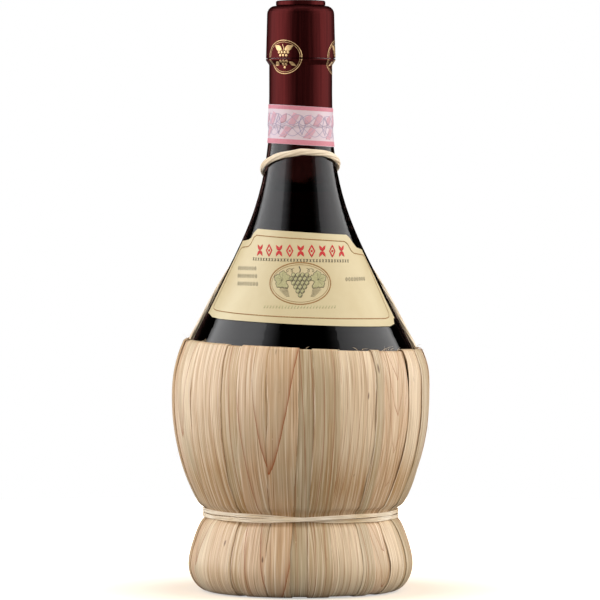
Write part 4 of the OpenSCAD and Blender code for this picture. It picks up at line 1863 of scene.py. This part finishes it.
@dataclass
class NeckCord:
    """The raffia cord: round the neck, crossed at the back and down under the rim on both sides."""

    form: FlaskForm
    wide: float = 3.1
    thick: float = 2.0
    gap: float = 0.3
    lean: float = 2.4
    cross_reach: float = 40.0
    cross_gap: float = 0.5
    end_turn: float = 261.0
    strands: int = 5
    strand_reach: float = 0.80
    strand_depth: float = 0.44
    sink: float = 0.25
    twist_length: float = 48.0
    route: tuple[tuple[float, float], ...] = (
        (0, 107), (45, 105.3), (90, 100.8), (135, 96), (180, 92), (205, 89), (222, 80), (234, 70), (245, 59),
        (252, 51.5), (257, 46), (260, 40), (261, 34),
    )

    def half(self, side: int) -> np.ndarray:
        """One half of the cord, from the front of the neck to the rim.

        Args:
            side: 1 for the right one, -1 for the left one.

        Returns:
            Points of its middle line.
        """
        p = spline(self.route, 8)
        away = np.abs(p[:, 0] - 180)
        over = (self.thick + self.cross_gap) * np.cos(np.radians(90 * away / self.cross_reach)) ** 2
        bump = np.where(away > self.cross_reach, 0, over)
        off = self.thick / 2 + self.gap + (bump if side > 0 else 0)
        h = p[:, 1] + side * self.lean / 2 * np.sin(np.radians(np.minimum(p[:, 0], 180)))
        return self.form.on_glass(side * p[:, 0], h, off)

    def end(self, side: int, back: float) -> np.ndarray:
        """A point at the cord's end by the hoop, or further back along it.

        Args:
            side: 1 for the right one, -1 for the left one.
            back: how much further back.

        Returns:
            The point.
        """
        c = self.form.hoop_at(side * self.end_turn - 90)
        f = self.form.fall(self.form.rim_h)
        e = c - (self.form.hoop_r + self.form.fold_gap + back) * f
        return polar(e[0], side * self.end_turn, e[1])

    def path(self) -> np.ndarray:
        """The cord's middle line from its left end to its right end.

        Returns:
            Points of the line.
        """
        start = [self.end(-1, 0), self.end(-1, self.wide)]
        finish = [self.end(1, self.wide), self.end(1, 0)]
        return np.vstack([start, self.half(-1)[::-1], self.half(1)[1:], finish])

    def build(self) -> None:
        """Twists the strands round the line and says how long the cord is."""
        line = resampled(self.path(), 0.8)
        along = run(line)
        side, out = across(line, outward(line))
        surface = Surface()
        for k in range(self.strands):
            wander = Wander(400 + k, 22)(along)
            a = 2 * math.pi * (k / self.strands + along / self.twist_length) + 0.25 * wander
            grow = 1 + 0.05 * wander
            to_side = (self.strand_reach * grow * np.cos(a))[:, None] * side
            to_out = (self.strand_depth * grow * np.sin(a) - self.sink)[:, None] * out
            centre = line + to_side + to_out
            shape = np.stack([oval(0.70 + 0.05 * w, 0.50 - 0.03 * w, 10) for w in wander])
            surface.tube(swept_rings(centre, out, shape), along)
        obj = surface.piece("raffia_cord")
        fibre = Raffia("raffia_cord_fibre", screen(252, 243, 225), screen(228, 206, 174))
        dress(obj, fibre.material())
        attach(obj, "bottle")
        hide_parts("neck_loop")
        log.info("made raffia_cord, %.0f mm long", float(along[-1]))


@dataclass
class WaistTie:
    """The raffia strand wound twice round the waist."""

    form: FlaskForm
    wide: float = 1.6
    thick: float = 0.9
    pitch: float = 2.05
    lean: float = 0.3
    cross_gap: float = 0.5
    over: float = 20.0
    strands: int = 3

    def path(self) -> np.ndarray:
        """Middle line of the strand from one end to the other.

        Returns:
            Points of the line.
        """
        start, end = -180 - self.over, 540 + self.over
        turn = np.linspace(start, end, 460)
        first = 1 - 2 * eased((turn + 35) / 70)
        second = -1 + 2 * eased((turn - 325) / 70)
        level = np.where(turn < 180, first, second)
        height = self.form.waist_z + self.pitch / 2 * level - self.lean * np.sin(np.radians(turn))
        step = self.thick + self.cross_gap
        crossed = eased((60 - np.abs(turn - 360)) / 30)
        last = eased((turn - end + 2 * self.over + 36) / 36)
        mid_r = self.form.waist_r + self.form.seat + self.thick / 2
        return polar(mid_r + step * (crossed + last), turn, height)

    def build(self) -> None:
        """Lays the strands side by side along the line."""
        line = self.path()
        along = run(line)
        away = outward(line)
        side = np.cross(headings(line), away)
        surface = Surface()
        width = self.wide / self.strands
        for k in range(self.strands):
            wander = Wander(500 + k, 35)(along)
            place = (k - (self.strands - 1) / 2) * width + 0.12 * wander
            rise = 0.08 * Wander(520 + k, 18)(along)
            centre = line + place[:, None] * side + rise[:, None] * away
            shape = oval(width * 0.62, self.thick * 0.42, 8)
            surface.tube(swept_rings(centre, away, shape), along)
        obj = surface.piece("waist_raffia")
        fibre = Raffia("raffia_tie_fibre", screen(253, 246, 232), screen(224, 202, 166))
        dress(obj, fibre.material())
        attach(obj, "bottle")
        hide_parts("waist_tie")
        log.info("made waist_raffia")


# Studio


@dataclass(frozen=True)
class SideLight:
    """A tall light on one side, by the turns in degrees at which it comes up and dies away."""

    name: str
    side: int
    rise: tuple[float, float]
    fall: tuple[float, float]
    radiance: float
    tint: tuple[float, float, float]
    in_gloss: bool = True
    turn: float = 80.0
    z: float = 0.92


@dataclass(frozen=True)
class Card:
    """A curved dark card, by the turns from the front at which it starts and ends, and its distance.

    Glass or gloss may show it, or both. Its edges are heights in millimetres.
    """

    name: str
    start: float
    end: float
    away: float
    in_glass: bool = True
    in_gloss: bool = True
    low_z: float = 1.0
    top_z: float = 3400.0


@dataclass
class Studio:
    """Camera, floor, two tall side lights, dark cards and a white surround."""

    camera_x: float = -0.0003
    camera_y: float = -2.118
    camera_z: float = 0.198
    aim_z: float = 0.1278
    lens: float = 289.0
    light_away: float = 0.95
    light_size: tuple[float, float] = (3.0, 1.9)
    fill: tuple[float, float, float] = (0.25, 0.17, 0.075)
    floor_r: float = 0.55
    lights: tuple[SideLight, ...] = (
        SideLight("light_left", -1, (24, 66), (128, 118), 2.35, (0.98, 0.985, 1.0)),
        SideLight("light_right", 1, (32, 88), (130, 124), 1.75, (1.0, 0.985, 0.97)),
        SideLight("light_soft_right", 1, (50, 90), (132, 120), 1.5, (1.0, 0.99, 0.97), False),
        SideLight("light_soft_front", 1, (-25, 25), (110, 70), 1.05, (1.0, 0.99, 0.97), False, 36.0, 1.12),
    )
    cards: tuple[Card, ...] = (
        Card("card_front", -50.0, 50.0, 1.8),
        Card("card_left", 196.0, 232.0, 1.5),
        Card("card_right", 130.0, 164.0, 1.5),
        Card("card_behind", 160.0, 200.0, 1.55, in_glass=False),
        Card("card_through_low", 162.0, 198.0, 1.52, in_gloss=False, top_z=150.0),
        Card("card_through_high", 162.0, 198.0, 1.52, in_gloss=False, low_z=240.0),
        Card("card_through_left", 196.0, 312.0, 1.9, in_gloss=False),
        Card("card_through_right", 48.0, 164.0, 1.9, in_gloss=False),
    )

    def build(self) -> None:
        """Sets up the whole studio."""
        self.camera()
        self.floor()
        for light in self.lights:
            self.side_light(light)
        for card in self.cards:
            self.card(card)
        self.surround()
        bpy.context.scene.view_settings.view_transform = "Standard"

    def camera(self) -> None:
        """Places the camera as the photograph's stood."""
        data = bpy.data.cameras.new("camera")
        data.lens, data.sensor_width = self.lens, 36.0
        data.clip_start, data.clip_end = 0.05, 50.0
        cam = bpy.data.objects.new("camera", data)
        bpy.context.scene.collection.objects.link(cam)
        cam.location = (self.camera_x, self.camera_y, self.camera_z)
        aim = Vector((self.camera_x, 0, self.aim_z)) - cam.location
        cam.rotation_euler = aim.to_track_quat("-Z", "Y").to_euler()
        bpy.context.scene.camera = cam

    def floor(self) -> None:
        """Makes a plain pale floor that turns to plain white away from the flask."""
        surface = Surface()
        ring = oval(self.floor_r * 1000, self.floor_r * 1000, 96)
        surface.add(np.column_stack([ring, np.zeros(len(ring))]), [list(range(len(ring)))])
        obj = surface.piece("floor", smooth=False)
        s = Shader("floor")
        seen = s.add("LightPath").outputs["Is Camera Ray"]
        tone = s.noise(s.place((3, 3, 3)), 2)
        near = s.mix(s.ranged(tone, 0.3, 0.7), (0.60, 0.49, 0.34, 1), (0.62, 0.51, 0.36, 1))
        pale = s.add("BsdfDiffuse", {"Color": s.mix(seen, (0.30, 0.315, 0.335, 1), near)})
        away = s.add("VectorMath", {0: s.place((1, 1, 0))}, operation="LENGTH").outputs["Value"]
        level = s.math("MULTIPLY", seen, s.ranged(away, 0.055, 0.15, 0.5, 1.3))
        glow = s.add("Emission", {"Color": (1, 1, 1, 1), "Strength": level})
        both = s.add("AddShader", {0: pale.outputs[0], 1: glow.outputs[0]})
        s.tree.links.new(both.outputs[0], s.add("OutputMaterial").inputs[0])
        dress(obj, s.material)

    def side_light(self, light: SideLight) -> None:
        """Makes one tall light whose level follows the turn from the front.

        Args:
            light: its place, level and colour.
        """
        data = bpy.data.lights.new(light.name, "AREA")
        data.shape = "RECTANGLE"
        data.size, data.size_y = self.light_size
        data.energy = light.radiance * math.pi * self.light_size[0] * self.light_size[1]
        data.color = light.tint
        data.use_nodes = True
        nodes = NodeTree(data.node_tree)
        place = nodes.add("SeparateXYZ", {0: nodes.add("NewGeometry").outputs["Position"]})
        aside = nodes.math("MULTIPLY", place.outputs[0], light.side)
        ahead = nodes.math("MULTIPLY", place.outputs[1], -1.0)
        turn = nodes.math("ARCTAN2", aside, ahead)
        levels = []
        for low, high in (light.rise, light.fall):
            ends = {"Value": turn, "From Min": math.radians(low), "From Max": math.radians(high)}
            levels.append(nodes.add("MapRange", ends, interpolation_type="SMOOTHSTEP").outputs[0])
        glow = nodes.add("Emission", {"Strength": nodes.math("MULTIPLY", levels[0], levels[1])})
        nodes.add("OutputLight", {0: glow.outputs[0]})
        lamp = bpy.data.objects.new(data.name, data)
        bpy.context.scene.collection.objects.link(lamp)
        a = math.radians(light.side * light.turn)
        lamp.location = (self.light_away * math.sin(a), -self.light_away * math.cos(a), light.z)
        aim = Vector((0, 0, light.z)) - lamp.location
        lamp.rotation_euler = aim.to_track_quat("-Z", "Y").to_euler()
        lamp.visible_camera = lamp.visible_transmission = False
        lamp.visible_glossy = light.in_gloss

    def card(self, card: Card) -> None:
        """Stands one card round its part of the set.

        Args:
            card: its place and size.
        """
        turn = np.linspace(card.start, card.end, 40)
        low, top = (polar(card.away * 1000, turn, z) for z in (card.low_z, card.top_z))
        n = len(turn)
        surface = Surface()
        surface.add(np.vstack([low, top]), [(i, i + 1, n + i + 1, n + i) for i in range(n - 1)])
        obj = surface.piece(card.name)
        s = Shader(card.name)
        nap = s.noise(s.place((400, 400, 400)), 2)
        felt = s.mix(nap, (0.002, 0.002, 0.002, 1), (0.004, 0.004, 0.004, 1))
        dress(obj, s.done(Base_Color=felt, Roughness=1.0, Specular_IOR_Level=0.0))
        obj.visible_camera = obj.visible_diffuse = obj.visible_shadow = False
        obj.visible_transmission, obj.visible_glossy = card.in_glass, card.in_gloss

    def surround(self) -> None:
        """Makes the world white to the eye and in glass and gloss, and a soft warm fill for the rest."""
        world = bpy.data.worlds.new("surround")
        bpy.context.scene.world = world
        world.use_nodes = True
        nodes = NodeTree(world.node_tree)
        path = nodes.add("LightPath")
        seen = path.outputs["Is Camera Ray"]
        for name in ("Is Glossy Ray", "Is Transmission Ray"):
            seen = nodes.math("MAXIMUM", seen, path.outputs[name])
        level = nodes.mix(seen, (*self.fill, 1.0), (1, 1, 1, 1))
        back = nodes.add("Background", {"Color": level})
        nodes.add("OutputWorld", {0: back.outputs[0]})


def main() -> None:
    """Builds the studio and every piece of the flask."""
    logging.basicConfig(level=logging.INFO, format="%(name)s: %(message)s")
    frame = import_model()
    nodes = frame["nodes"]
    form = FlaskForm()
    Studio().build()
    NeckCord(form).build()
    Vessel(nodes).build()
    Capsule(nodes).build()
    SealStrip(nodes, form).build()
    FrontLabel(nodes, form).build()
    Basket(nodes, form).build()
    WaistTie(form).build()


if __name__ == "__main__":
    main()
